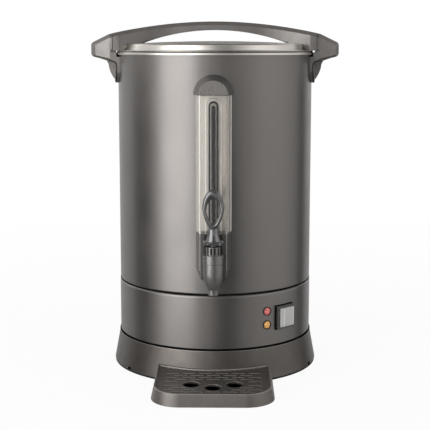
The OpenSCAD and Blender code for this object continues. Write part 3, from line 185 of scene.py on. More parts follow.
def shown_rays(tree, *names):
    """The largest of the named ray flags of a Light Path node."""
    path = tree.nodes.new("ShaderNodeLightPath")
    out = path.outputs[names[0]]
    for name in names[1:]:
        top = tree.nodes.new("ShaderNodeMath")
        top.operation = "MAXIMUM"
        tree.links.new(out, top.inputs[0])
        tree.links.new(path.outputs[name], top.inputs[1])
        out = top.outputs[0]
    return out


def mirrored_strength(tree):
    """White that reflections see, dimmed towards the ground and the ceiling."""
    point = tree.nodes.new("ShaderNodeTexCoord")
    parts = tree.nodes.new("ShaderNodeSeparateXYZ")
    tree.links.new(point.outputs["Generated"], parts.inputs[0])
    ramp = tree.nodes.new("ShaderNodeFloatCurve")
    curve = ramp.mapping.curves[0]
    ramp.mapping.clip_min_x = -1
    ends = [(-1, MIRROR_STRENGTHS[0][1]), (1, MIRROR_STRENGTHS[-1][1])]
    for point, at in zip(curve.points, ends):
        point.location = at
    for at in MIRROR_STRENGTHS:
        curve.points.new(*at)
    for point in curve.points:
        point.handle_type = "VECTOR"
    ramp.mapping.update()
    tree.links.new(parts.outputs["Z"], ramp.inputs["Value"])
    return ramp.outputs[0]


def add_world():
    world = bpy.data.worlds.new("studio")
    scene.world = world
    world.use_nodes = True
    tree = world.node_tree
    plain = tree.nodes["Background"]
    plain.inputs["Strength"].default_value = AMBIENT
    plain.inputs["Color"].default_value = AMBIENT_COLOR
    white = tree.nodes.new("ShaderNodeBackground")
    white.inputs["Color"].default_value = (1, 1, 1, 1)
    mirrored = tree.nodes.new("ShaderNodeBackground")
    tree.links.new(mirrored_strength(tree), mirrored.inputs["Strength"])
    out = plain.outputs[0]
    for shown, rays in ((mirrored, ("Is Glossy Ray",)), (white, ("Is Camera Ray", "Is Transmission Ray"))):
        mix = tree.nodes.new("ShaderNodeMixShader")
        tree.links.new(shown_rays(tree, *rays), mix.inputs[0])
        tree.links.new(out, mix.inputs[1])
        tree.links.new(shown.outputs[0], mix.inputs[2])
        out = mix.outputs[0]
    tree.links.new(out, tree.nodes["World Output"].inputs["Surface"])


def floor_material():
    mat = bpy.data.materials.new("pale_floor")
    mat.use_nodes = True
    tree = mat.node_tree
    lit = tree.nodes["Principled BSDF"]
    lit.inputs["Base Color"].default_value = FLOOR_COLOR
    lit.inputs["Roughness"].default_value = 0.9
    lit.inputs["Specular IOR Level"].default_value = 0.1
    white = tree.nodes.new("ShaderNodeEmission")
    point = tree.nodes.new("ShaderNodeTexCoord")
    far = tree.nodes.new("ShaderNodeVectorMath")
    far.operation = "LENGTH"
    tree.links.new(point.outputs["Object"], far.inputs[0])
    fade = tree.nodes.new("ShaderNodeMapRange")
    fade.inputs["From Min"].default_value = FLOOR_FADE[0]
    fade.inputs["From Max"].default_value = FLOOR_FADE[1]
    fade.inputs["To Min"].default_value = FLOOR_WHITE
    tree.links.new(far.outputs["Value"], fade.inputs["Value"])
    share = tree.nodes.new("ShaderNodeMath")
    share.operation = "MULTIPLY"
    tree.links.new(fade.outputs[0], share.inputs[1])
    tree.links.new(shown_rays(tree, "Is Camera Ray", "Is Transmission Ray"), share.inputs[0])
    mix = tree.nodes.new("ShaderNodeMixShader")
    tree.links.new(share.outputs[0], mix.inputs[0])
    tree.links.new(lit.outputs[0], mix.inputs[1])
    tree.links.new(white.outputs[0], mix.inputs[2])
    tree.links.new(mix.outputs[0], tree.nodes["Material Output"].inputs["Surface"])
    return mat


def add_stage():
    rim = [around(360 * i / FLOOR_STEPS, FLOOR_R, 0) for i in range(FLOOR_STEPS)]
    floor = stage_mesh("floor", rim[::-1], floor_material())
    floor.visible_glossy = False
    add_flags()


def add_flags():
    black = bpy.data.materials.new("flag_black")
    black.use_nodes = True
    black.node_tree.nodes["Principled BSDF"].inputs["Base Color"].default_value = FLAG_COLOR
    for i, (azimuth, distance, width, z0, z1) in enumerate(FLAGS):
        side = around(azimuth + 90, width / 2, 0)
        foot, top = [around(azimuth, distance, z) for z in (z0, z1)]
        flag = stage_mesh(f"flag_{i}", [foot - side, foot + side, top + side, top - side], black)
        flag.visible_camera = False
        flag.visible_shadow = False
        flag.visible_diffuse = False


scene.view_settings.view_transform = "Standard"
add_camera()
add_world()
add_lights()
add_stage()

# Materials

# Where a texture begins and ends to change a colour, and a gloss
TINT_SPAN = (0.32, 0.68)
GLOSS_SPAN = (0.3, 0.7)
# Texture along each radian round the urn's axis; a small value makes long streaks
STREAK_SQUEEZE = 0.004


def shader(name, color, roughness, metallic=0.0, **sockets):
    """A principled material; further sockets are named with underscores for spaces."""
    mat = bpy.data.materials.new(name)
    mat.use_nodes = True
    bsdf = principled(mat)
    bsdf.inputs["Base Color"].default_value = (*color, 1)
    bsdf.inputs["Roughness"].default_value = roughness
    bsdf.inputs["Metallic"].default_value = metallic
    for socket, value in sockets.items():
        bsdf.inputs[socket.replace("_", " ")].default_value = value
    return mat


def principled(mat):
    return mat.node_tree.nodes["Principled BSDF"]


def node_of(mat, kind, **inputs):
    """A new shader node; an input is a number, a vector or another node's output."""
    node = mat.node_tree.nodes.new(kind)
    for name, value in inputs.items():
        socket = node.inputs[name.replace("_", " ")]
        if isinstance(value, bpy.types.NodeSocket):
            mat.node_tree.links.new(value, socket)
        else:
            socket.default_value = value
    return node


def place(mat, stretch=(1, 1, 1)):
    """The point on the piece, in metres, stretched along each axis."""
    point = node_of(mat, "ShaderNodeTexCoord").outputs["Object"]
    return node_of(mat, "ShaderNodeMapping", Vector=point, Scale=stretch).outputs[0]


def turned_place(mat):
    """Distance from the urn's axis, height and angle, so that a texture streaks around a turned piece."""
    point = node_of(mat, "ShaderNodeTexCoord").outputs["Object"]
    parts = node_of(mat, "ShaderNodeSeparateXYZ", Vector=point).outputs
    flat = node_of(mat, "ShaderNodeCombineXYZ", X=parts[0], Y=parts[1]).outputs[0]
    length = node_of(mat, "ShaderNodeVectorMath", Vector=flat)
    length.operation = "LENGTH"
    angle = node_of(mat, "ShaderNodeMath")
    angle.operation = "ARCTAN2"
    mat.node_tree.links.new(parts[1], angle.inputs[0])
    mat.node_tree.links.new(parts[0], angle.inputs[1])
    slow = node_of(mat, "ShaderNodeMath")
    slow.operation = "MULTIPLY"
    slow.inputs[1].default_value = STREAK_SQUEEZE
    mat.node_tree.links.new(angle.outputs[0], slow.inputs[0])
    return node_of(
        mat, "ShaderNodeCombineXYZ", X=length.outputs["Value"], Y=slow.outputs[0], Z=parts[2]
    ).outputs[0]


def noise(mat, where, scale, detail=3.0):
    return node_of(mat, "ShaderNodeTexNoise", Vector=where, Scale=scale, Detail=detail).outputs["Fac"]


def cells(mat, where, scale):
    return node_of(mat, "ShaderNodeTexVoronoi", Vector=where, Scale=scale).outputs["Distance"]


def tinted(mat, texture, dark, light):
    """Colours the piece between two shades by a texture."""
    ramp = node_of(mat, "ShaderNodeValToRGB", Fac=texture)
    for element, at, color in zip(ramp.color_ramp.elements, TINT_SPAN, (dark, light)):
        element.position = at
        element.color = (*color, 1)
    mat.node_tree.links.new(ramp.outputs[0], principled(mat).inputs["Base Color"])


def roughened(mat, texture, least, most):
    """Varies the gloss between two roughness values by a texture."""
    span = node_of(
        mat, "ShaderNodeMapRange", Value=texture,
        From_Min=GLOSS_SPAN[0], From_Max=GLOSS_SPAN[1], To_Min=least, To_Max=most)
    mat.node_tree.links.new(span.outputs[0], principled(mat).inputs["Roughness"])


def bumped(mat, texture, depth):
    """Raises the surface by a texture, over any bump that the material already has."""
    normal = principled(mat).inputs["Normal"]
    bump = node_of(mat, "ShaderNodeBump", Height=texture, Distance=depth, Strength=1.0)
    if normal.is_linked:
        mat.node_tree.links.new(normal.links[0].from_socket, bump.inputs["Normal"])
    mat.node_tree.links.new(bump.outputs[0], normal)


def paint_highlight(mat, color, towards, shares):
    """Paints a highlight onto a piece where its surface leans towards a direction; shares are pairs of lean
    and share.
    """
    normal = node_of(mat, "ShaderNodeNewGeometry").outputs["Normal"]
    lean = node_of(mat, "ShaderNodeVectorMath")
    lean.operation = "DOT_PRODUCT"
    mat.node_tree.links.new(normal, lean.inputs[0])
    lean.inputs[1].default_value = towards
    span = node_of(mat, "ShaderNodeValToRGB", Fac=lean.outputs["Value"])
    elements = span.color_ramp.elements
    for i, (at, share) in enumerate(shares):
        element = elements[i] if i < 2 else elements.new(at)
        element.position = at
        element.color = (share, share, share, 1)
    base = principled(mat).inputs["Base Color"]
    mix = node_of(mat, "ShaderNodeMix")
    mix.data_type = "RGBA"
    mat.node_tree.links.new(span.outputs[0], mix.inputs[0])
    mat.node_tree.links.new(base.links[0].from_socket, mix.inputs[6])
    mix.inputs[7].default_value = (*color, 1)
    mat.node_tree.links.new(mix.outputs[2], base)


def shades(color, spread):
    """A darker and a lighter shade of a colour."""
    return [c * (1 - spread) for c in color], [c * (1 + spread) for c in color]


def metallic_paint(name, color):
    """Satin anthracite paint: fine flake, faint orange peel and a soft uneven gloss."""
    mat = shader(name, color, roughness=0.4, metallic=0.82, Coat_Weight=0.12, Coat_Roughness=0.3)
    where = place(mat)
    tinted(mat, noise(mat, where, scale=2600, detail=2.0), *shades(color, spread=0.1))
    roughened(mat, noise(mat, where, scale=22), least=0.29, most=0.35)
    bumped(mat, noise(mat, where, scale=900, detail=2.0), depth=0.00003)
    bumped(mat, noise(mat, where, scale=3200, detail=1.0), depth=0.00002)
    return mat


def turned_steel(name, color, least, most):
    """Stainless sheet with fine turning marks around the urn's axis."""
    mat = shader(name, color, least, metallic=1.0)
    around_axis = turned_place(mat)
    marks = noise(mat, around_axis, scale=2400, detail=4.0)
    tinted(mat, noise(mat, around_axis, scale=700), *shades(color, spread=0.06))
    roughened(mat, marks, least, most)
    bumped(mat, marks, depth=0.00004)
    return mat


def plated_metal(name, color, least, most):
    """Plated or cast metal with a fine grain and small dull patches."""
    mat = shader(name, color, least, metallic=1.0)
    where = place(mat)
    tinted(mat, noise(mat, where, scale=160), *shades(color, spread=0.08))
    roughened(mat, noise(mat, where, scale=90), least, most)
    bumped(mat, noise(mat, where, scale=2200), depth=0.00005)
    return mat


def moulded_plastic(name, color, least, most, grain=0.00006, **sockets):
    """Moulded plastic: a fine spark-eroded grain, slight flow marks and an uneven gloss."""
    mat = shader(name, color, least, **sockets)
    where = place(mat)
    tinted(mat, noise(mat, where, scale=55), *shades(color, spread=0.07))
    roughened(mat, noise(mat, where, scale=130), least, most)
    bumped(mat, noise(mat, where, scale=1500, detail=4.0), depth=grain)
    bumped(mat, cells(mat, where, scale=1050), depth=grain * 0.6)
    return mat


def soft_rubber(name, color, least, most):
    """Rubber or silicone: matt, with dusty variation."""
    mat = shader(name, color, least, Specular_IOR_Level=0.3, Sheen_Weight=0.08)
    where = place(mat)
    tinted(mat, noise(mat, where, scale=70), *shades(color, spread=0.15))
    roughened(mat, noise(mat, where, scale=200), least, most)
    bumped(mat, noise(mat, where, scale=1800), depth=0.00006)
    return mat


def veiled(mat, span, clear, edge):
    """Lets light through a material by a range node, from its cover face on to that at its edges."""
    span.inputs["To Min"].default_value = clear
    span.inputs["To Max"].default_value = edge
    mat.node_tree.links.new(span.outputs[0], principled(mat).inputs["Alpha"])


def clear_wall(name, color, clear, edge):
    """Thin clear plastic: see-through face on, whiter at a glancing angle."""
    mat = shader(name, color, roughness=0.07, Coat_Weight=0.5, Coat_Roughness=0.04, IOR=1.49)
    where = place(mat)
    roughened(mat, noise(mat, where, scale=260), least=0.06, most=0.13)
    bumped(mat, noise(mat, where, scale=35), depth=0.0001)
    facing = node_of(mat, "ShaderNodeLayerWeight", Blend=0.35).outputs["Facing"]
    veiled(mat, node_of(mat, "ShaderNodeMapRange", Value=facing), clear, edge)
    return mat


def tube_wall(name, color, clear, edge, start, end):
    """Glass of a tube: clear face on and painted dark towards its sides as the shade that the glass shows
    there, with faint drawing lines along it.
    """
    mat = shader(
        name, color, roughness=0.04, Coat_Weight=0.1, Coat_Roughness=0.02, Specular_IOR_Level=0.15)
    bumped(mat, noise(mat, place(mat, stretch=(1, 1, 0.02)), scale=900), depth=0.00002)
    facing = node_of(mat, "ShaderNodeLayerWeight", Blend=0.5).outputs["Facing"]
    veiled(mat, node_of(mat, "ShaderNodeMapRange", Value=facing, From_Min=start, From_Max=end), clear, edge)
    return mat


def black_for_shade(name):
    """A black without gloss that paints the shade of a deep gap."""
    mat = shader(name, (0.004, 0.004, 0.004), roughness=0.9, Specular_IOR_Level=0.0)
    bumped(mat, noise(mat, place(mat), scale=1800), depth=0.00006)
    return mat


def lamp_lens(name, color):
    """Jewel lens: glossy coloured plastic with a cut pattern behind its face."""
    mat = shader(
        name, color, roughness=0.16, Coat_Weight=0.6, Coat_Roughness=0.05, Subsurface_Weight=0.15,
        Subsurface_Radius=(0.002, 0.0008, 0.0006))
    cuts = cells(mat, place(mat), scale=520)
    tinted(mat, cuts, *shades(color, spread=0.3))
    bumped(mat, cuts, depth=0.0004)
    return mat


UP, FRONT = (0, 0, 1), (0, -1, 0)
# Where a painted highlight on a rounded upper edge begins and ends, and where one on a flat front begins
UPWARD_HIGHLIGHT_LEANS = [(0.2, 0), (0.97, 0), (0.35, 1), (0.9, 1)]
FRONT_HIGHLIGHT_LEANS = [(0.86, 0), (0.95, 1)]
PAINT = (0.177, 0.166, 0.158)
STEEL = (0.63, 0.595, 0.55)
# Finishes by slot. After a colour come the least and most roughness, or for clear pieces the cover face on
# and at the edges; a tube's wall also says how far round the cover begins and is full
MATERIALS = {
    "painted_body": metallic_paint("anthracite_paint", PAINT),
    "stainless": turned_steel("turned_stainless", STEEL, 0.28, 0.38),
    "fasteners": plated_metal("plated_steel", (0.58, 0.57, 0.55), 0.26, 0.42),
    "handle_plastic": moulded_plastic("handle_plastic", (0.190, 0.178, 0.169), 0.32, 0.4, metallic=0.55),
    "base_plastic": moulded_plastic("base_plastic", (0.135, 0.122, 0.112), 0.34, 0.42, metallic=0.4),
    "gauge_plastic": moulded_plastic("gauge_plastic", (0.105, 0.100, 0.096), 0.26, 0.33, metallic=0.4),
    "tap_plastic": moulded_plastic("tap_plastic", (0.170, 0.165, 0.160), 0.24, 0.32, 0.00003, metallic=0.6),
    "lever_plastic": moulded_plastic(
        "lever_plastic", (0.15, 0.149, 0.15), 0.1, 0.15, 0.00001, metallic=0.75),
    "guard_clear": clear_wall("guard_clear", (0.62, 0.575, 0.53), 0.02, 0.9),
    "gauge_glass": tube_wall("gauge_glass", (0.014, 0.017, 0.026), 0.02, 0.98, 0.2, 0.3),
    "rubber": soft_rubber("black_rubber", (0.010, 0.010, 0.010), 0.55, 0.75),
    "silicone": soft_rubber("pale_silicone", (0.58, 0.57, 0.53), 0.45, 0.6),
    "heater_metal": plated_metal("cast_aluminium", (0.55, 0.55, 0.54), 0.38, 0.55),
    "black_plastic": moulded_plastic("black_plastic", (0.022, 0.022, 0.022), 0.3, 0.4),
    "terminal_white": moulded_plastic("terminal_plastic", (0.68, 0.66, 0.61), 0.4, 0.5),
    "boot_clear": clear_wall("boot_clear", (0.78, 0.78, 0.77), 0.35, 0.85),
    "rocker_grey": moulded_plastic("rocker_plastic", (0.36, 0.36, 0.355), 0.2, 0.3, grain=0.00002),
    "red_lens": lamp_lens("red_lens", (0.80, 0.19, 0.17)),
    "amber_lens": lamp_lens("amber_lens", (0.93, 0.46, 0.12)),
}
# Finishes of single pieces that differ from their slot's
# A dark inner wall, half see-through face on, that paints the shade outlining the tube's bore
BORE_SHADE_FINISH = tube_wall("bore_painted_shade", (0.03, 0.034, 0.045), 0.5, 0.97, 0.08, 0.3)
CREAM_FINISH = metallic_paint("cream_paint", (0.80, 0.75, 0.68))
# Whiter plastic for the gauge's rib, partly painted highlight, and for the lines of painted highlight on
# the switch boot
RIB_HIGHLIGHT_FINISH = moulded_plastic("rib_and_painted_highlight", (0.92, 0.90, 0.86), 0.25, 0.35)
GRILLE_FINISH = moulded_plastic("grille_plastic", (0.075, 0.068, 0.063), 0.24, 0.32, metallic=0.4)
FRAME_FINISH = moulded_plastic("frame_plastic", (0.075, 0.073, 0.070), 0.28, 0.36, metallic=0.3)
BASE_FINISH = moulded_plastic("base_ring_plastic", (0.108, 0.097, 0.089), 0.34, 0.42, metallic=0.8)
CAP_FINISH = moulded_plastic("cap_plastic", (0.085, 0.080, 0.076), 0.26, 0.33, metallic=0.4)
HOUSING_FINISH = moulded_plastic("housing_plastic", (0.088, 0.083, 0.079), 0.26, 0.33, metallic=0.4)
# Near-black finish that paints the shade along the grips' lower bevels and the arms' edges
HANDLE_SHADE_LINE_FINISH = moulded_plastic("handle_painted_shade", (0.02, 0.019, 0.018), 0.45, 0.55)
# Painted shade: a black without gloss put in gaps, slots and wells where only shade lies
PAINTED_SHADE_FINISH = black_for_shade("painted_shade_black")
# Bars that paint highlights along the edges of the tap housing and the clear guard
HOUSING_HIGHLIGHT_FINISH = moulded_plastic("housing_painted_highlight", (0.26, 0.25, 0.24), 0.2, 0.3, metallic=0.3)
GUARD_HIGHLIGHT_FINISH = clear_wall("guard_painted_highlight", (0.97, 0.96, 0.93), 0.75, 0.95)
# Painted highlights: lighter colour on the upward rounded edges of the grille, tray and base ring, and on
# the gauge cap's flat front
paint_highlight(GRILLE_FINISH, (0.3, 0.28, 0.26), UP, UPWARD_HIGHLIGHT_LEANS)
paint_highlight(MATERIALS["base_plastic"], (0.3, 0.28, 0.265), UP, UPWARD_HIGHLIGHT_LEANS)
paint_highlight(BASE_FINISH, (0.28, 0.26, 0.245), UP, UPWARD_HIGHLIGHT_LEANS)
paint_highlight(CAP_FINISH, (0.19, 0.18, 0.17), FRONT, FRONT_HIGHLIGHT_LEANS)
slot_of = {part["node"]: part["material_slot"] for part in frame["record"]["subparts"]}
for node, slot in slot_of.items():
    nodes[node].data.materials.clear()
    nodes[node].data.materials.append(MATERIALS[slot])

# Mesh making

WELD = 0.002 * MM
# Angles between two faces, in degrees: the most across a flat face, and the least at a sharp edge
FLAT_ANGLE = 0.3
SHARP_ANGLE = 34
# The least share of up in an upper face's normal
UPPER_LEAN = 0.7
ROUND_SEGMENTS = 3
CORNER_STEPS = 5
BAR_SIDES = 12


def piece(name, bm, node, sharp=SHARP_ANGLE, added=False, finish=None):
    """Makes a piece of a mesh, which rides with a CAD node and, unless it is added to it, stands for it."""
    slot = slot_of[node]
    bmesh.ops.recalc_face_normals(bm, faces=bm.faces)
    mesh = bpy.data.meshes.new(name)
    bm.to_mesh(mesh)
    bm.free()
    for layer in ("custom_normal", "sharp_edge", "sharp_face"):
        if layer in mesh.attributes:
            mesh.attributes.remove(mesh.attributes[layer])
    for face in mesh.polygons:
        face.use_smooth = True
    mesh.set_sharp_from_angle(angle=radians(sharp))
    mesh.materials.clear()
    mesh.materials.append(finish or MATERIALS[slot])
    obj = bpy.data.objects.new(name, mesh)
    scene.collection.objects.link(obj)
    obj.modifiers.new("face_normals", "WEIGHTED_NORMAL").keep_sharp = True
    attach(obj, nodes[node]["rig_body"])
    if not added:
        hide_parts(node)
    return obj


def copied(node):
    """A CAD node's mesh, welded and with its flat faces whole."""
    bm = bmesh.new()
    bm.from_mesh(nodes[node].data)
    bmesh.ops.remove_doubles(bm, verts=bm.verts, dist=WELD)
    bmesh.ops.dissolve_limit(bm, angle_limit=radians(FLAT_ANGLE), verts=bm.verts, edges=bm.edges)
    return bm


def edge_middle(edge):
    return (edge.verts[0].co + edge.verts[1].co) / 2


def faces_up(edge):
    """True for an edge of an upper face."""
    return max(face.normal.z for face in edge.link_faces) > UPPER_LEAN


def sharp_edges(bm, angle, chosen=None):
    """The chosen edges, or all, whose two faces bend by more than an angle."""
    sharp = [edge for edge in bm.edges if edge.is_manifold and edge.calc_face_angle(0) > radians(angle)]
    return [edge for edge in sharp if chosen is None or chosen(edge)]


def combined(bm, other, operation):
    """Joins, cuts or meets two closed meshes."""
    objects = []
    for source in (bm, other):
        bmesh.ops.recalc_face_normals(source, faces=source.faces)
        mesh = bpy.data.meshes.new("solid")
        source.to_mesh(mesh)
        source.free()
        objects.append(bpy.data.objects.new("solid", mesh))
        scene.collection.objects.link(objects[-1])
    change = objects[0].modifiers.new("change", "BOOLEAN")
    change.operation = operation
    change.solver = "EXACT"
    change.object = objects[1]
    out = bmesh.new()
    out.from_object(objects[0], bpy.context.evaluated_depsgraph_get())
    for obj in objects:
        mesh = obj.data
        bpy.data.objects.remove(obj)
        bpy.data.meshes.remove(mesh)
    return out


def round_edges(bm, radius, segments=ROUND_SEGMENTS, angle=SHARP_ANGLE, chosen=None):
    """Rounds the sharp edges of a mesh over."""
    bmesh.ops.bevel(
        bm, geom=sharp_edges(bm, angle, chosen), offset=radius, offset_type="OFFSET",
        segments=segments, profile=0.5, affect="EDGES", clamp_overlap=False)
    return bm


def rounded_piece(node, radius, finish=None):
    """A CAD node with its sharp edges rounded over."""
    piece(f"{node}_moulded", round_edges(copied(node), radius), node, finish=finish)


def reach_on(radius, aside):
    """How far out a round face of a radius lies, at a distance aside from its middle."""
    return (radius ** 2 - aside ** 2) ** 0.5


def turns_of(steps):
    """The angles of a full turn in even steps."""
    return [2 * pi * i / steps for i in range(steps)]


def eased(corners):
    """A closed outline of (x, y, radius) corners, each rounded by about its radius."""
    out = []
    for i, (x, y, radius) in enumerate(corners):
        here = Vector((x, y))
        to_last = Vector(corners[i - 1][:2]) - here
        to_next = Vector(corners[(i + 1) % len(corners)][:2]) - here
        if radius == 0:
            out.append(here)
            continue
        reach = radius / tan(to_last.angle(to_next) / 2)
        start = here + to_last.normalized() * reach
        end = here + to_next.normalized() * reach
        for k in range(CORNER_STEPS + 1):
            t = k / CORNER_STEPS
            out.append(start * (1 - t) ** 2 + here * 2 * t * (1 - t) + end * t * t)
    return out


def skin(bm, rings):
    """Joins each ring of points to the next by faces; a ring on an axis repeats one point."""
    for here, there in zip(rings, rings[1:]):
        for i in range(len(here)):
            j = (i + 1) % len(here)
            corners = list(dict.fromkeys([here[i], here[j], there[j], there[i]]))
            if len(corners) > 2:
                bm.faces.new(corners)


def lofted(outlines):
    """A closed solid through outlines that have as many points as each other."""
    bm = bmesh.new()
    rings = [[bm.verts.new(point) for point in outline] for outline in outlines]
    skin(bm, rings)
    bm.faces.new(rings[0])
    bm.faces.new(rings[-1])
    return bm


def turned(outline, steps, axis=(0, 0)):
    """A mesh of a closed outline of (radius, height) points turned about a vertical axis."""
    bm = bmesh.new()
    rings = []
    for r, z in outline:
        if r < WELD:
            rings.append([bm.verts.new((*axis, z))] * steps)
            continue
        rings.append([
            bm.verts.new((axis[0] + r * cos(a), axis[1] + r * sin(a), z)) for a in turns_of(steps)])
    skin(bm, rings + rings[:1])
    return bm


def tube_along(path, radius):
    """A round bar that follows a path of points, with flat ends."""
    rings = []
    for i, at in enumerate(path):
        along = (path[min(i + 1, len(path) - 1)] - path[max(i - 1, 0)]).normalized()
        side = along.cross(Vector((0, 1, 0))).normalized()
        up = side.cross(along)
        rings.append([at + side * radius * cos(a) + up * radius * sin(a) for a in turns_of(BAR_SIDES)])
    return lofted(rings)


def added_to(bm, other):
    """Puts a second mesh beside the first in one mesh."""
    mesh = bpy.data.meshes.new("solid")
    other.to_mesh(mesh)
    other.free()
    bm.from_mesh(mesh)
    bpy.data.meshes.remove(mesh)
    return bm


# Lid and handles

LID_CROWN = 3.6 * MM
LID_SHEET = 1 * MM
LID_FLANGE = 9 * MM
LID_LEAN = 2 * MM
LID_SHOULDER_R = 3.2 * MM
LID_EDGE_R = 0.45 * MM
# Shares of the lid's radius at which its crown is drawn
CROWN_SHARES = (0, 0.3, 0.6, 0.8, 0.93)
# Steps of pieces that are turned about the urn's axis
BODY_STEPS = 192
ARM_STEPS = 256
# The handles' bevel along their upper edges: width, fall for that width, and least bend of such an edge
HANDLE_BEVEL = 4.6 * MM
BEVEL_FALL = 1.1
BEVEL_ANGLE = 30
# The grips: inner end of their tops, slope over the rim, their tips, and taper of their sides
GRIP_IN_X = 128.6 * MM
GRIP_TOP_Z = 410 * MM
GRIP_RISE = 0.235
GRIP_TIP_Z = 401 * MM
GRIP_TIP_R = 5 * MM
GRIP_TIP_TURN = 65
GRIP_TIP_STEPS = 5
GRIP_TAPER = 0.44
# Their undersides beside the gusset: height at the inner end, slope, bevel and reach of the hollow
UNDER_Z = 378.3 * MM
UNDER_SLOPE = 0.21
UNDER_BEVEL = 2.6 * MM
HOLLOW_REACH = 18 * MM
GUSSET_HALF = 11.2 * MM
# The arms under them: outer radius, corner radius of their lower ends, and the dark line of painted shade
# along their edges
ARM_R = BODY_R + 3.8 * MM
ARM_CORNER = 16 * MM
ARM_SHADE_LINE_R = 1 * MM
ARM_HOLLOW_R = 6 * MM
ARM_TURN = 60
ARM_TURN_STEPS = 5
# How far a cutting form stands past what it cuts, and how far the grip's form stands past the grip
CLEAR = 1 * MM
WEDGE_CLEAR = 4 * MM
GRIP_CLEAR = 10 * MM
GRIP_SIDE_CLEAR = 0.02 * MM


def lid_skin(inset):
    """The lid's crown and shoulder as outline corners, inset by a thickness."""
    shoulder_z = high("lid_dish").z - LID_CROWN
    top_r = high("lid_dish").x - LID_FLANGE - LID_LEAN
    crown = [(top_r * k, shoulder_z + LID_CROWN * (1 - k * k) - inset, 0) for k in CROWN_SHARES]
    return crown + [(top_r - inset, shoulder_z - inset, LID_SHOULDER_R - inset)]


def make_lid():
    flange_r = high("lid_dish").x
    foot_z = low("lid_dish").z
    band_r = flange_r - LID_FLANGE
    flange = [
        (band_r, foot_z + LID_SHEET, LID_SHEET), (flange_r, foot_z + LID_SHEET, LID_EDGE_R),
        (flange_r, foot_z, LID_EDGE_R), (band_r - LID_SHEET, foot_z, LID_SHEET / 2)]
    outline = eased(lid_skin(0) + flange + lid_skin(LID_SHEET)[::-1])
    piece("lid_dish_pressed", turned(outline, BODY_STEPS), "lid_dish")


def runs_across(edge):
    """True for an edge that runs from left to right rather than from front to back."""
    along = edge.verts[0].co - edge.verts[1].co
    return abs(along.x) > abs(along.y)


def make_lid_handle():
    """The arched handle, with a broad flat bevel along both upper edges."""
    bm = copied("lid_handle")
    round_edges(
        bm, HANDLE_BEVEL, segments=1, angle=BEVEL_ANGLE,
        chosen=lambda edge: faces_up(edge) and runs_across(edge))
    piece("lid_handle_moulded", bm, "lid_handle")


def grip_form(side):
    """A form round one grip, with broad flat bevels towards its front and back."""
    foot, top = low("side_handle_right"), high("side_handle_right")
    tip = Vector((top.x - GRIP_TIP_R, GRIP_TIP_Z - GRIP_TIP_R))
    turns = [radians(GRIP_TIP_TURN * (1 - i / GRIP_TIP_STEPS)) for i in range(GRIP_TIP_STEPS + 1)]
    body_x = BODY_R - GRIP_CLEAR
    body_z = GRIP_TOP_Z + GRIP_RISE * (GRIP_IN_X - body_x)
    foot_z = foot.z - GRIP_CLEAR
    bm = bmesh.new()
    loops = []
    for bevel, front in ((HANDLE_BEVEL, -1), (0, -1), (0, 1), (HANDLE_BEVEL, 1)):
        arc = [tip + Vector((cos(a), sin(a))) * (GRIP_TIP_R - bevel) for a in turns]
        drop = BEVEL_FALL * bevel
        points = [(body_x, body_z - drop), (GRIP_IN_X, GRIP_TOP_Z - drop)] + [tuple(p) for p in arc]
        points += [(arc[-1].x, foot_z), (GRIP_IN_X, foot_z), (body_x, foot_z)]
        half = top.y + GRIP_SIDE_CLEAR - (0 if bevel else HANDLE_BEVEL)
        loops.append([
            bm.verts.new((side * x, front * (half - GRIP_TAPER * max(x - GRIP_IN_X, 0)), z))
            for x, z in points])
    skin(bm, loops)
    for ends in (loops[0], loops[-1]):
        bm.faces.new([ends[0], ends[1], ends[-2], ends[-1]])
        bm.faces.new(ends[1:-1])
    return bm


def under_height(x):
    """The height of a grip's underside beside the gusset, at a distance from the urn's axis."""
    return UNDER_Z + UNDER_SLOPE * (x - GRIP_IN_X)


def under_wedge(side, front):
    """Cuts a flat bevel along one lower edge of a grip."""
    top = high("side_handle_right")
    reach = UNDER_BEVEL + CLEAR
    ends = []
    for x in (GRIP_IN_X - 2 * CLEAR, top.x + 2 * CLEAR):
        half = top.y - GRIP_TAPER * (x - GRIP_IN_X)
        under_z = under_height(x)
        corners = [
            (half + CLEAR, under_z + reach), (half - reach, under_z - CLEAR),
            (half + WEDGE_CLEAR, under_z - WEDGE_CLEAR)]
        ends.append([(side * x, front * y, z) for y, z in corners])
    return lofted(ends)


def under_hollow(side, front):
    """Cuts the hollow between a grip and its arm, on one side of the gusset."""
    half = high("side_handle_right").y + CLEAR
    out_x = GRIP_IN_X + HOLLOW_REACH
    foot_z = low("side_handle_right").z - CLEAR
    corners = [
        (BODY_R, foot_z), (out_x, foot_z), (out_x, under_height(out_x)), (BODY_R, under_height(BODY_R))]
    hollow = lofted([[(side * x, front * y, z) for x, z in corners] for y in (GUSSET_HALF, half)])
    arm_z = foot_z - CLEAR
    arm = turned([(0, arm_z), (ARM_R, arm_z), (ARM_R, GRIP_TOP_Z), (0, GRIP_TOP_Z)], ARM_STEPS)
    return combined(hollow, arm, "DIFFERENCE")


def make_side_handle(node, side):
    bm = combined(copied(node), grip_form(side), "INTERSECT")
    for front in (-1, 1):
        bm = combined(bm, under_hollow(side, front), "DIFFERENCE")
        bm = combined(bm, under_wedge(side, front), "DIFFERENCE")
    piece(f"{node}_moulded", bm, node)


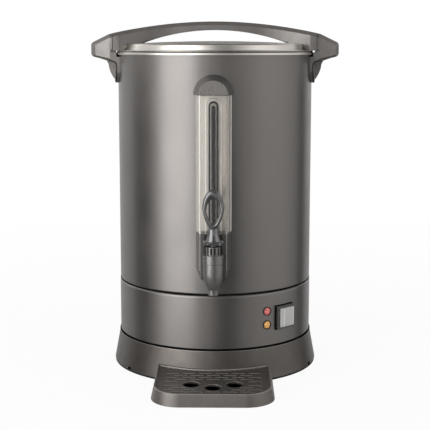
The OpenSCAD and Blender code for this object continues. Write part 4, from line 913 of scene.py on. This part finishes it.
def make_arm_shade_line(node, side, front):
    """A dark bar of painted shade that runs from a grip's underside down one edge of its arm, along the
    bevel there.
    """
    half = high(node).y
    edge_y = half - ARM_SHADE_LINE_R / 2
    turn_z = low(node).z + ARM_CORNER
    arm_x = reach_on(ARM_R, half)
    upper = eased([(GRIP_IN_X, UNDER_Z, 0), (arm_x, under_height(arm_x), ARM_HOLLOW_R), (arm_x, turn_z, 0)])
    path = [Vector((side * p.x, front * edge_y, p.y)) for p in upper]
    for i in range(1, ARM_TURN_STEPS + 1):
        a = radians(ARM_TURN * i / ARM_TURN_STEPS)
        y = edge_y - ARM_CORNER * (1 - cos(a))
        path.append(Vector((side * reach_on(ARM_R, y), front * y, turn_z - ARM_CORNER * sin(a))))
    name = f"{node}_edge_{'front' if front < 0 else 'back'}"
    piece(name, tube_along(path, ARM_SHADE_LINE_R), node, added=True, finish=HANDLE_SHADE_LINE_FINISH)


make_lid()
make_lid_handle()
for handle, side in (("side_handle_left", -1), ("side_handle_right", 1)):
    make_side_handle(handle, side)
    make_arm_shade_line(handle, side, -1)
    make_arm_shade_line(handle, side, 1)

# Gauge

RIB_HALF = 8.3 * MM
RIB_R = 1.2 * MM
RIB_STEPS = 16
BORE_R = 2.35 * MM
BORE_DROP = 1.8 * MM
TUBE_STEPS = 64
DOME_STEPS = 8
# Radius of the bars of painted highlight along the edges of the guard and the housing
EDGE_R = 0.75 * MM
# How far the painted highlight bar at the back of the guard stands off the body
EDGE_STAND = 1.5 * EDGE_R
CORNER_X = 15.07 * MM
# How far the painted highlight bars run down beside the tap
EDGE_DROP = 42 * MM


def make_gauge_rib():
    """The raised line on the back plate that goes round the tube, in a whiter finish that also paints a
    highlight along it.
    """
    plate_r = -low("gauge_backplate").y
    top_z = high("gauge_tube").z - (high("gauge_tube").x - low("gauge_tube").x) / 2
    foot_z = low("gauge_backplate").z
    turns = [pi * i / RIB_STEPS for i in range(RIB_STEPS + 1)]
    arc = [(RIB_HALF * cos(a), top_z + RIB_HALF * sin(a)) for a in turns]
    points = [(RIB_HALF, foot_z)] + arc + [(-RIB_HALF, foot_z)]
    path = [Vector((x, -reach_on(plate_r, x), z)) for x, z in points]
    piece("gauge_backplate_rib", tube_along(path, RIB_R), "gauge_backplate", added=True, finish=RIB_HIGHLIGHT_FINISH)


def make_tube():
    """The sight tube's wall with a round top, and a dark inner wall of painted shade that outlines its
    bore.
    """
    foot, top = low("gauge_tube"), high("gauge_tube")
    wall_r = (top.x - foot.x) / 2
    turns = [pi / 2 * i / DOME_STEPS for i in range(DOME_STEPS)]
    for name, r, drop, added, finish in (
            ("gauge_tube_wall", wall_r, 0, False, None),
            ("gauge_tube_bore", BORE_R, BORE_DROP, True, BORE_SHADE_FINISH)):
        dome_z = top.z - wall_r - drop
        dome = [(r * cos(a), dome_z + r * sin(a)) for a in turns]
        outline = [(0, foot.z), (r, foot.z)] + dome + [(0, dome_z + r)]
        piece(name, turned(outline, TUBE_STEPS, (0, TUBE.y)), "gauge_tube", added=added, finish=finish)


def make_edge_highlights():
    """Whitish bars of painted highlight along the edges of the clear guard, and of the housing below it."""
    foot, top = low("gauge_guard"), high("gauge_guard")
    front_y = foot.y + EDGE_R
    back_x = top.x - EDGE_R
    back_y = -reach_on(BODY_R, back_x) - EDGE_STAND
    for side, x, y in (("left", -CORNER_X, front_y), ("right", back_x, back_y)):
        bar = tube_along([Vector((x, y, z)) for z in (foot.z, top.z)], EDGE_R)
        piece(f"gauge_guard_edge_{side}", bar, "gauge_guard", added=True, finish=GUARD_HIGHLIGHT_FINISH)
    for side, x in (("left", -CORNER_X), ("right", CORNER_X)):
        bar = tube_along([Vector((x, front_y, z)) for z in (foot.z - EDGE_DROP, foot.z)], EDGE_R)
        piece(f"tap_housing_edge_{side}", bar, "tap_housing", added=True, finish=HOUSING_HIGHLIGHT_FINISH)


nodes["gauge_backplate"].data.materials[0] = CREAM_FINISH
make_gauge_rib()
make_tube()
make_edge_highlights()
rounded_piece("gauge_cap", radius=0.8 * MM, finish=CAP_FINISH)
rounded_piece("gauge_guard", radius=0.6 * MM)

# Tap and lever

LOOP_DEPTH = 7 * MM
LOOP_H = 45.6 * MM
LOOP_RISE = 1.6 * MM
LOOP_SIDE = 4.6 * MM
LOOP_TOP = 11.6 * MM
LOOP_FOOT = 6.2 * MM
LOOP_STEPS = 96
LOOP_SIDES = 20
# How far the loop and its hole are drawn in towards their feet
LOOP_PINCH = 0.22
HOLE_PINCH = 0.45
# The bell under the loop: radii at its top and foot, height, overlap with the loop, and its rounded end
NECK_R = 5.8 * MM
BELL_R = 9.4 * MM
BELL_H = 15 * MM
BELL_OVERLAP = 1 * MM
BELL_STEPS = 6
END_DROP = 2 * MM
END_H = 4 * MM
END_STEPS = 4
NECK_STEPS = 48
# Heights above the lever's pin where the CAD part ends, and from there to the foot of the loop's neck
NECK_CUT = 8.5 * MM
NECK_GAP = 0.3 * MM
COLLAR_EDGE_R = 0.4 * MM
SLOT_H = 9.3 * MM
# The black band of painted shade inside the bonnet's slots: its radius and thickness
SLOT_SHADE_R = 5.6 * MM
SLOT_SHADE_T = 1.4 * MM


def loop_ring():
    """The lever's loop: two ovals, one inside the other, drawn in below and joined by a round section."""
    top = high("tap_lever").z + LOOP_RISE
    loop_w = high("tap_lever").x - low("tap_lever").x
    hole_h = LOOP_H - LOOP_TOP - LOOP_FOOT
    ovals = [
        (loop_w / 2, LOOP_H / 2, top - LOOP_H / 2, LOOP_PINCH),
        (loop_w / 2 - LOOP_SIDE, hole_h / 2, top - LOOP_TOP - hole_h / 2, HOLE_PINCH)]
    bm = bmesh.new()
    rings = []
    for a in turns_of(LOOP_STEPS):
        low_share = max(-sin(a), 0) * abs(cos(a))
        outer, inner = [
            Vector((rx * cos(a) * (1 - pinch * low_share), TAP.y, z + rz * sin(a)))
            for rx, rz, z, pinch in ovals]
        mid, half = (outer + inner) / 2, (outer - inner) / 2
        rings.append([
            bm.verts.new(mid + half * cos(b) + Vector((0, LOOP_DEPTH / 2 * sin(b), 0)))
            for b in turns_of(LOOP_SIDES)])
    skin(bm, rings + rings[:1])
    return bm


def loop_neck(foot_z):
    """The upper part of the lever's bell, rounded off inside the loop's foot."""
    bell_top = high("tap_lever").z + LOOP_RISE - LOOP_H + BELL_OVERLAP
    bell = []
    for i in range(BELL_STEPS + 1):
        z = foot_z + (bell_top - END_DROP - foot_z) * i / BELL_STEPS
        share = (bell_top - z) / BELL_H
        bell.append((NECK_R + (BELL_R - NECK_R) * share ** 2, z))
    end_r, end_z = bell[-1]
    turns = [pi / 2 * i / END_STEPS for i in range(1, END_STEPS + 1)]
    end = [(end_r * cos(a), end_z + END_H * sin(a)) for a in turns]
    return turned([(0, foot_z)] + bell + end, NECK_STEPS, (0, TAP.y))


def make_lever():
    """The tap's lever: the collar and bell of the CAD part under a loop of round section."""
    cut_z = TAP.z + NECK_CUT
    lower = round_edges(copied("tap_lever"), COLLAR_EDGE_R, chosen=lambda edge: edge_middle(edge).z < cut_z)
    every = lower.verts[:] + lower.edges[:] + lower.faces[:]
    bmesh.ops.bisect_plane(lower, geom=every, plane_co=(0, 0, cut_z), plane_no=(0, 0, 1), clear_outer=True)
    foot_z = cut_z + NECK_GAP
    upper = combined(loop_ring(), loop_neck(foot_z), "UNION")
    foot = [face for face in upper.faces if max(vert.co.z for vert in face.verts) < foot_z + WELD]
    bmesh.ops.delete(upper, geom=foot, context="FACES")
    lever = added_to(lower, upper)
    bmesh.ops.bridge_loops(lever, edges=[edge for edge in lever.edges if edge.is_boundary])
    piece("tap_lever_moulded", lever, "tap_lever")


def make_bonnet_slot_shade():
    """A black band of painted shade behind the slots round the bonnet's neck."""
    foot_z = high("tap_bonnet").z - SLOT_H
    top_z = foot_z + SLOT_H - SLOT_SHADE_T
    inner_r = SLOT_SHADE_R - SLOT_SHADE_T
    band = [(inner_r, foot_z), (SLOT_SHADE_R, foot_z), (SLOT_SHADE_R, top_z), (inner_r, top_z)]
    core = turned(band, NECK_STEPS, (0, TAP.y))
    piece("tap_bonnet_slot_shade", core, "tap_bonnet", added=True, finish=PAINTED_SHADE_FINISH)


def make_spring():
    """The tap's spring, on a mesh of its own."""
    spring = piece("tap_spring_wound", copied("tap_spring"), "tap_spring")
    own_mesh(spring)


make_lever()
make_spring()
rounded_piece("tap_housing", radius=1.2 * MM, finish=HOUSING_FINISH)
rounded_piece("tap_body", radius=0.4 * MM)
rounded_piece("tap_bonnet", radius=0.25 * MM)
make_bonnet_slot_shade()

# Controls

SWITCH_HALF = (13.5 * MM, 14 * MM)
# The black ring of painted shade round the switch's frame: how far it shows past the frame, and its
# thickness
SHADE_RING_EDGE = 0.9 * MM
SHADE_RING_T = 0.7 * MM
BOOT_HALF = (10.2 * MM, 10.7 * MM)
RIDGE_W = 0.5 * MM
# Whitish raised lines that paint highlights on the boot, by the share of its half width at which they begin
RIDGES = {"left": -0.62, "right": 0.9}
LENS_LEN = 14 * MM
LENS_SIDES = 10
# Rings of the cut lens: share of its radius, depth behind its front, and turn as a share of one side
LENS_RINGS = [(0.42, 0.05 * MM, 0), (0.8, 0.55 * MM, 0.5), (1, 1.5 * MM, 0), (1, LENS_LEN, 0)]
# The angle in degrees from which two facets of a lens meet in a sharp edge
FACET_ANGLE = 8


def outwards(node):
    """The level direction from the urn's axis to the middle of a node."""
    return Vector((middle(node).x, middle(node).y, 0)).normalized()


def make_lens(name, node):
    """A pilot lamp's lens, cut in flat facets."""
    radius = (high(node).z - low(node).z) / 2
    out = outwards(node)
    side = out.cross(Vector((0, 0, 1)))
    front = middle(node) + out * LENS_LEN / 2
    bm = bmesh.new()
    rings = []
    for share, depth, turn in LENS_RINGS:
        turns = [2 * pi * (i + turn) / LENS_SIDES for i in range(LENS_SIDES)]
        rings.append([
            bm.verts.new(front - out * depth + (side * cos(a) + Vector((0, 0, sin(a)))) * radius * share)
            for a in turns])
    face_ring, facet_ring, side_ring, back_ring = rings
    for ring in (face_ring, side_ring):
        for i in range(LENS_SIDES):
            j = (i + 1) % LENS_SIDES
            bm.faces.new((ring[i], ring[j], facet_ring[i]))
            bm.faces.new((facet_ring[i], ring[j], facet_ring[j]))
    skin(bm, [side_ring, back_ring])
    bm.faces.new(face_ring)
    bm.faces.new(back_ring)
    piece(name, bm, node, sharp=FACET_ANGLE)


def switch_block(across, up, front, back):
    """A box on the switch, from ranges across and up from its middle, and distances from the urn's axis."""
    out = outwards("switch_boot")
    side = Vector((-out.y, out.x, 0))
    mid_z = middle("switch_boot").z
    (x0, x1), (z0, z1) = across, up
    corners = [(x0, z0), (x1, z0), (x1, z1), (x0, z1)]
    return lofted([
        [out * r + side * x + Vector((0, 0, mid_z + z)) for x, z in corners] for r in (back, front)])


def make_frame_shade_ring():
    """A black ring of painted shade in the gap round the switch's frame."""
    half_w, half_h = [half + SHADE_RING_EDGE for half in SWITCH_HALF]
    bm = switch_block((-half_w, half_w), (-half_h, half_h), SKIRT_R + SHADE_RING_T, SKIRT_R - 2 * SHADE_RING_T)
    piece("switch_shade_ring", bm, "switch_frame", added=True, finish=PAINTED_SHADE_FINISH)


def make_boot_highlight_ridges():
    """Whitish raised lines on the clear boot's face that paint in its highlight lines."""
    half_w, half_h = BOOT_HALF
    out = outwards("switch_boot")
    face = max(vert.co.dot(out) for vert in nodes["switch_boot"].data.vertices)
    for name, share in RIDGES.items():
        at = share * half_w
        bm = switch_block((at, at + RIDGE_W), (-half_h, half_h), face + RIDGE_W / 2, face - RIDGE_W)
        piece(f"switch_boot_highlight_ridge_{name}", bm, "switch_boot", added=True, finish=RIB_HIGHLIGHT_FINISH)


make_lens("red_lamp_cut", "red_lamp")
make_lens("amber_lamp_cut", "amber_lamp")
rounded_piece("switch_frame", radius=0.4 * MM, finish=FRAME_FINISH)
make_frame_shade_ring()
make_boot_highlight_ridges()
rounded_piece("switch_boot", radius=0.6 * MM)
rounded_piece("switch_rocker", radius=0.5 * MM)

# Base and tray

# The black rings of painted shade in the seams: how far they sink into the seam, their radii, the base
# one's rise and their sides
SEAM_SINK = 0.3 * MM
SKIRT_SHADE_R = 0.6 * MM
BASE_SHADE_R = 1.5 * MM
BASE_SHADE_RISE = 0.4 * MM
SHADE_RING_SIDES = 8
# Corners of the black plate of painted shade in the tray's well, at one side
WELL_SHADE_CORNERS = [(62 * MM, -135 * MM), (62 * MM, -185 * MM), (50 * MM, -200 * MM)]
WELL_SHADE_Z = (2.4 * MM, 3 * MM)


def make_shade_ring(name, node, radius, z, shade_ring_r):
    """A black ring of painted shade in the seam between two pieces of the body."""
    middle_r = radius - SEAM_SINK
    outline = [(middle_r + shade_ring_r * cos(a), z + shade_ring_r * sin(a)) for a in turns_of(SHADE_RING_SIDES)]
    piece(name, turned(outline, BODY_STEPS), node, added=True, finish=PAINTED_SHADE_FINISH)


def make_tray_shade():
    """A black plate of painted shade on the tray's floor, seen through the grille."""
    outline = WELL_SHADE_CORNERS + [(-x, y) for x, y in WELL_SHADE_CORNERS[::-1]]
    well = lofted([[(x, y, z) for x, y in outline] for z in WELL_SHADE_Z])
    piece("drip_tray_well_shade", well, "drip_tray", added=True, finish=PAINTED_SHADE_FINISH)


make_shade_ring("skirt_seam_shade", "lower_skirt", BODY_R, SEAM_Z, SKIRT_SHADE_R)
make_shade_ring("base_seam_shade", "base_ring", SKIRT_R, high("base_ring").z + BASE_SHADE_RISE, BASE_SHADE_R)
make_tray_shade()
rounded_piece("base_ring", radius=1.2 * MM, finish=BASE_FINISH)
rounded_piece("drip_tray", radius=0.7 * MM)
rounded_piece("drip_grille", radius=0.5 * MM, finish=GRILLE_FINISH)
